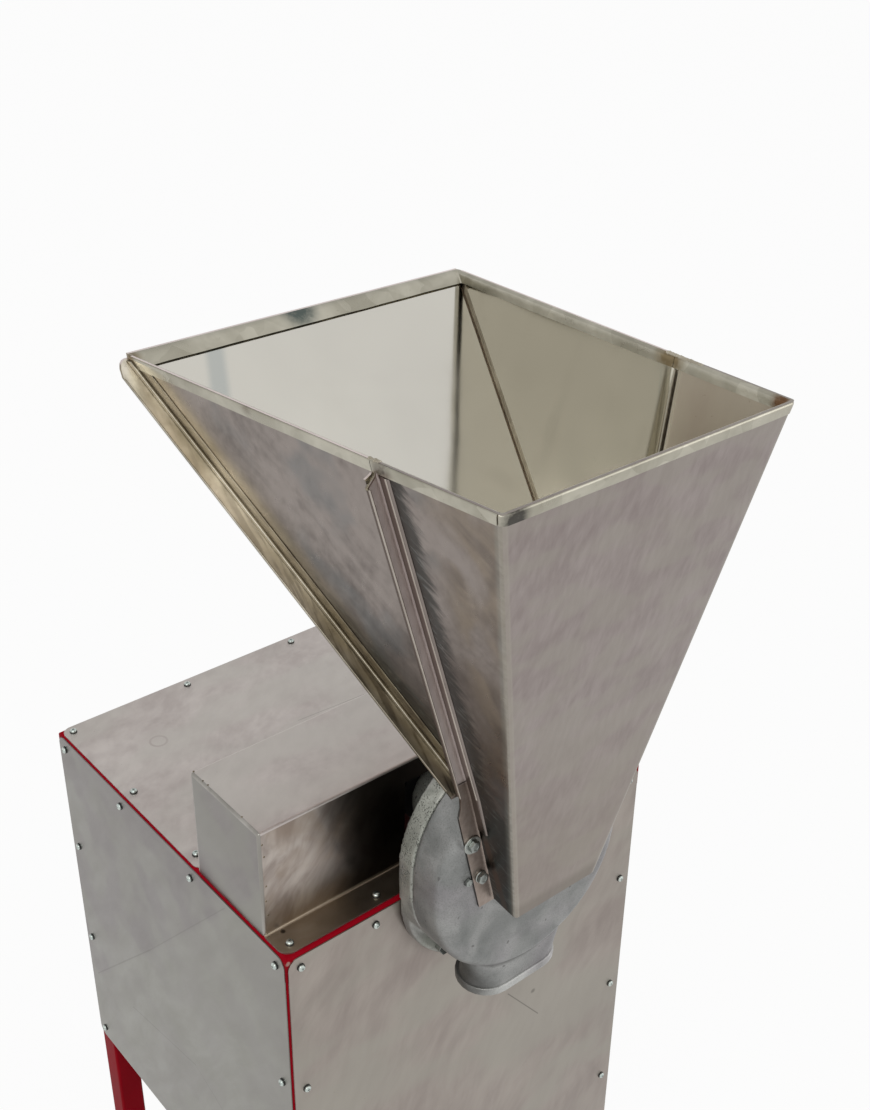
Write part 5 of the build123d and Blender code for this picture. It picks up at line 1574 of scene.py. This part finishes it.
def hex_bolt(flat, height, shank, reach):
    """Hexagonal head with a turned chamfer, and its shank."""
    bar_mesh = mesh_of(hexagon(flat, -0.2 * mm, height + 1 * mm))
    far = 1.2 * flat
    dish = height - 0.25 * mm
    turned = [(needle, 0.0), (0.97 * flat, 0.0), (far, 0.14 * flat), (far, height - 0.16 * flat),
              (0.9 * flat, height), (0.55 * flat, height), (0.5 * flat, dish), (needle, dish)]
    head = cut(bar_mesh, mesh_of(lathe(turned, 48), merge=same_turned_point), "INTERSECT")
    rod = lathe([(needle, -reach), (shank, -reach), (shank, 0.3 * mm), (needle, 0.3 * mm)], 20)
    stem = bmesh.new()
    stem.from_mesh(head)
    stem.from_mesh(mesh_of(rod, merge=same_turned_point))
    return smooth(bare_mesh(stem))


def washer(outer, inner, thick):
    edge = 0.25 * thick
    flat = outer - edge
    profile = [(inner, 0.0), (flat, 0.0), (outer, edge), (outer, thick - edge), (flat, thick), (inner, thick)]
    return mesh_of(lathe(profile + [profile[0]], 36))


def screw_seats(lift):
    """Seat and outward direction of each screw in the sheets, lifted off its sheet."""
    seats = []
    for low, high in islands("panel_screws"):
        size, middle = high - low, (high + low) / 2
        axis = max(range(3), key=lambda k: size[k])
        aim = Vector((0, 0, 0))
        aim[axis] = 1.0 if middle[axis] > cabinet_middle[axis] else -1.0
        tip = high[axis] if aim[axis] > 0 else low[axis]
        seat = middle.copy()
        seat[axis] = tip - aim[axis] * (screw_head_height - lift)
        seats.append((seat, aim))
    return seats


def bolt_seats(node, height, thin):
    """Seats of bolts whose heads face the front, and of the washers under them."""
    bolts, washers = [], []
    for low, high in islands(node):
        middle = (low + high) / 2
        depth = high.y - low.y
        if depth > thin:
            bolts.append((Vector((middle.x, low.y + height, middle.z)), Vector((0, -1, 0))))
        else:
            washers.append((Vector((middle.x, high.y, middle.z)), Vector((0, -1, 0)), high.x - low.x))
    return bolts, washers


screw_seal = washer(seal_radius, seal_hole, seal_height)
fastened("panel_screws_dressed", screw_seats(seal_height), pan_screw(), zinc_finish, ["panel_screws"], 5)
fastened("panel_screw_seals", screw_seats(0.0), screw_seal, black_finish, ["panel_screws"], 5)
hopper_heads, hopper_washers = bolt_seats("hopper_bolts", bolt_head_height, washer_thickest)
hopper_bolt = hex_bolt(bolt_head_flat, bolt_head_height, bolt_radius, bolt_reach)
fastened("hopper_bolts_dressed", hopper_heads, hopper_bolt, dull_zinc_finish, ["hopper_bolts"], 11)
for number, (point, aim, width) in enumerate(hopper_washers):
    ring = washer(width / 2, bolt_radius + washer_play, washer_thick)
    fastened(f"hopper_washer_{number + 1}", [(point, aim)], ring, washer_finish, ["hopper_bolts"], 3)
stop_heads, _ = bolt_seats("hopper_stop_screws", stop_head_height, 0.0)
stop_screw = hex_bolt(stop_head_flat, stop_head_height, stop_radius, stop_reach)
fastened("hopper_stop_screws_dressed", stop_heads, stop_screw, dull_zinc_finish, ["hopper_stop_screws"], 7)


# Welds, as overlapping ripples along their paths
def weld_tree():
    """Sets a ripple at an even pitch along each path, each a little larger or smaller than the next."""
    t, given = growing_tree("weld beads", {
        "Paths": "Geometry", "Ripple": "Object", "Finish": "Material",
        "Pitch": "Float", "Unevenness": "Float", "Seed": "Int"})
    curves = t.node("GeometryNodeMeshToCurve", {}, {"Mesh": given.part("Paths")})
    spacing = {"Curve": curves, "Length": given.part("Pitch")}
    even = t.node("GeometryNodeResampleCurve", {"mode": "LENGTH"}, spacing)
    tangent = t.node("GeometryNodeInputTangent")
    turn = t.node("FunctionNodeAlignRotationToVector", {"axis": "Z"}, {"Vector": tangent})
    chance = t.node("FunctionNodeRandomValue", {"data_type": "FLOAT"}, {"Seed": given.part("Seed")}, output=1)
    size = 1 + (chance - 0.5) * given.part("Unevenness")
    grow_copies(t, given, "Ripple", even, Rotation=turn, Scale=size)
    return t.tree


beads = weld_tree()


def ripple(radius, thick):
    """One flattened drop of weld."""
    profile = [(max(radius * math.sin(a), needle), -thick * math.cos(a)) for a in turns(math.pi, 6)]
    return mesh_of(lathe(profile, 12), merge=same_ripple_point)


def welded(name, paths, radius, finish, seed, nodes=()):
    """Piece of weld beads along paths, each a list of points."""
    points, edges = [], []
    for path in paths:
        first = len(points)
        points += path
        edges += [(first + k, first + k + 1) for k in range(len(path) - 1)]
    lines = bpy.data.meshes.new(name)
    lines.from_pydata(points, edges, [])
    values = {"Finish": finish, "Pitch": weld_pitch * radius, "Unevenness": weld_unevenness, "Seed": seed}
    mesh = grown(lines, beads, values, "Ripple", ripple(radius, weld_thick * radius))
    piece(name, smooth(mesh), [finish], nodes)


def rib_top_path(wall):
    """Slope that closes the top of a rib, from under the hem to the tip of its leaves."""
    ends = ((hopper_sheet, 1.0 * mm), (hopper_sheet + rib_width, rib_cut))
    middle = (hopper_sheet - rib_gap) / 2
    return [seam_point(wall, out, middle, under_rim(hem_height + rib_drop + drop)) for out, drop in ends]


def hem_joint_path(wall, start, end):
    """Run along the crown of the hem across a seam."""
    crown = (hopper_sheet + hem_sheet - hem_stand) / 2
    return [at_seam(wall, ahead)(crown, 1.4 * mm) for ahead in (start, end)]


def rail_end_paths(rail, axis):
    """Open beads round the ends of a rail, on the three sides that the sheet doesn't cover."""
    low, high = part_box(rail)
    other = 1 - axis
    outer, inner = low[other], high[other]
    if abs(high[other] - cabinet_middle[other]) > abs(low[other] - cabinet_middle[other]):
        outer, inner = inner, outer
    back = outer + (inner - outer) * 0.12
    paths = []
    for end in (low[axis], high[axis]):
        corners = [(back, low.z), (inner, low.z), (inner, high.z), (back, high.z)]
        path = []
        for across_place, z in corners:
            point = Vector((0, 0, z))
            point[axis], point[other] = end, across_place
            path.append(point)
        paths.append(path)
    return paths


rib_tops = [rib_top_path(wall) for wall in (left_wall, right_wall)]
welded("hopper_rib_welds", rib_tops, rib_weld, olive_finish, 3, ["hopper_front_shell"])
hem_joints = [hem_joint_path(right_wall, -14 * mm, 26 * mm), hem_joint_path(left_wall, -6 * mm, 4 * mm)]
welded("hopper_hem_welds", hem_joints, hem_weld, bright_olive_finish, 5, ["hopper_front_shell"])
rails = [path for rail, axis in (("front", 0), ("back", 0), ("left", 1), ("right", 1))
         for path in rail_end_paths(f"lower_rail_{rail}", axis)]
welded("frame_rail_welds", rails, rail_weld, red_finish, 9)


def tack_places():
    """Tack welds left along the edges of the guard's end plates."""
    near = front_y + guard_front
    up, forward = Vector((0, 0, 1)), Vector((0, -1, 0))
    places = []
    for side, edge in ((-1, guard_low.x), (1, guard_high.x)):
        seam = edge - side * (guard_end_round + guard_end_joint)
        for y, inset in ((29, 0.0), (85, 0.4), (93, 0.0), (110, 0.6)):
            places.append((Vector((seam - side * inset * mm, near + y * mm, guard_high.z)), up))
        for z, inset in ((3, 0.4), (24, 3.0), (41, 1.6), (58, 2.6), (92, 2.2), (106, 1.0)):
            places.append((Vector((seam - side * inset * mm, near, cabinet_top + z * mm)), forward))
    return places


tack = ripple(tack_radius, tack_height)
fastened("belt_guard_tacks", tack_places(), tack, olive_finish, ["belt_guard"], 4)


# Stage
def floor():
    f = Finish("pale floor")
    lit = f.node("ShaderNodeBsdfDiffuse", {}, {"Color": (0.5, 0.49, 0.48, 1.0)})
    white = f.node("ShaderNodeEmission", {}, {"Color": (1, 1, 1, 1), "Strength": 1.0})
    both = f.node("ShaderNodeMixShader", {}, {0: seen_directly(f) * 0.95, 1: lit, 2: white})
    f.node("ShaderNodeOutputMaterial", {}, {"Surface": both})
    half = 60.0
    corners = [(-half, -half, 0), (half, -half, 0), (half, half, 0), (-half, half, 0)]
    mesh = bpy.data.meshes.new("floor")
    mesh.from_pydata(corners, [], [(0, 1, 2, 3)])
    mesh.materials.append(f.material)
    made = linked("floor", mesh)


def studio():
    """White backdrop up to a height, under a room that is brighter overhead and in front."""
    world = bpy.data.worlds.new("studio")
    world.use_nodes = True
    bpy.context.scene.world = world
    t = Tree(world.node_tree)
    t.tree.nodes.clear()
    direction = t.node("ShaderNodeTexCoord", output="Generated")
    height = t.node("ShaderNodeSeparateXYZ", {}, {"Vector": direction}, output="Z")
    room = 0.4 + height.between(-0.2, 0.9) * 0.42 + height.part("Y").between(0.8, -0.9) * 0.24
    backdrop = seen_directly(t) * height.between(0.5, 0.2)
    strength = backdrop + (1 - backdrop) * room
    back = t.node("ShaderNodeBackground", {}, {"Color": (1, 1, 1, 1), "Strength": strength})
    t.node("ShaderNodeOutputWorld", {}, {"Surface": back})


def lamp(name, place, aim, size, power):
    data = bpy.data.lights.new(name, "AREA")
    data.shape = "DISK"
    data.size = size
    data.energy = power
    made = linked(name, data)
    made.location = place
    made.rotation_mode = "QUATERNION"
    made.rotation_quaternion = (Vector(aim) - Vector(place)).to_track_quat("-Z", "Y")


def camera():
    data = bpy.data.cameras.new("camera")
    data.sensor_width = sensor
    data.lens = focal_pixels * sensor / image_height
    made = linked("camera", data)
    turn = Matrix((camera_right, -camera_down, -camera_forward)).transposed()
    made.matrix_world = Matrix.Translation(camera_place) @ turn.to_4x4()
    bpy.context.scene.camera = made


floor()
studio()
middle = (0.0, 0.0, 0.7)
lamp("key", (-2.2, -1.6, 3.4), middle, 2.4, 40.0)
lamp("fill", (2.6, -2.4, 2.2), middle, 2.4, 16.0)
camera()
bpy.context.scene.view_settings.view_transform = "Standard"
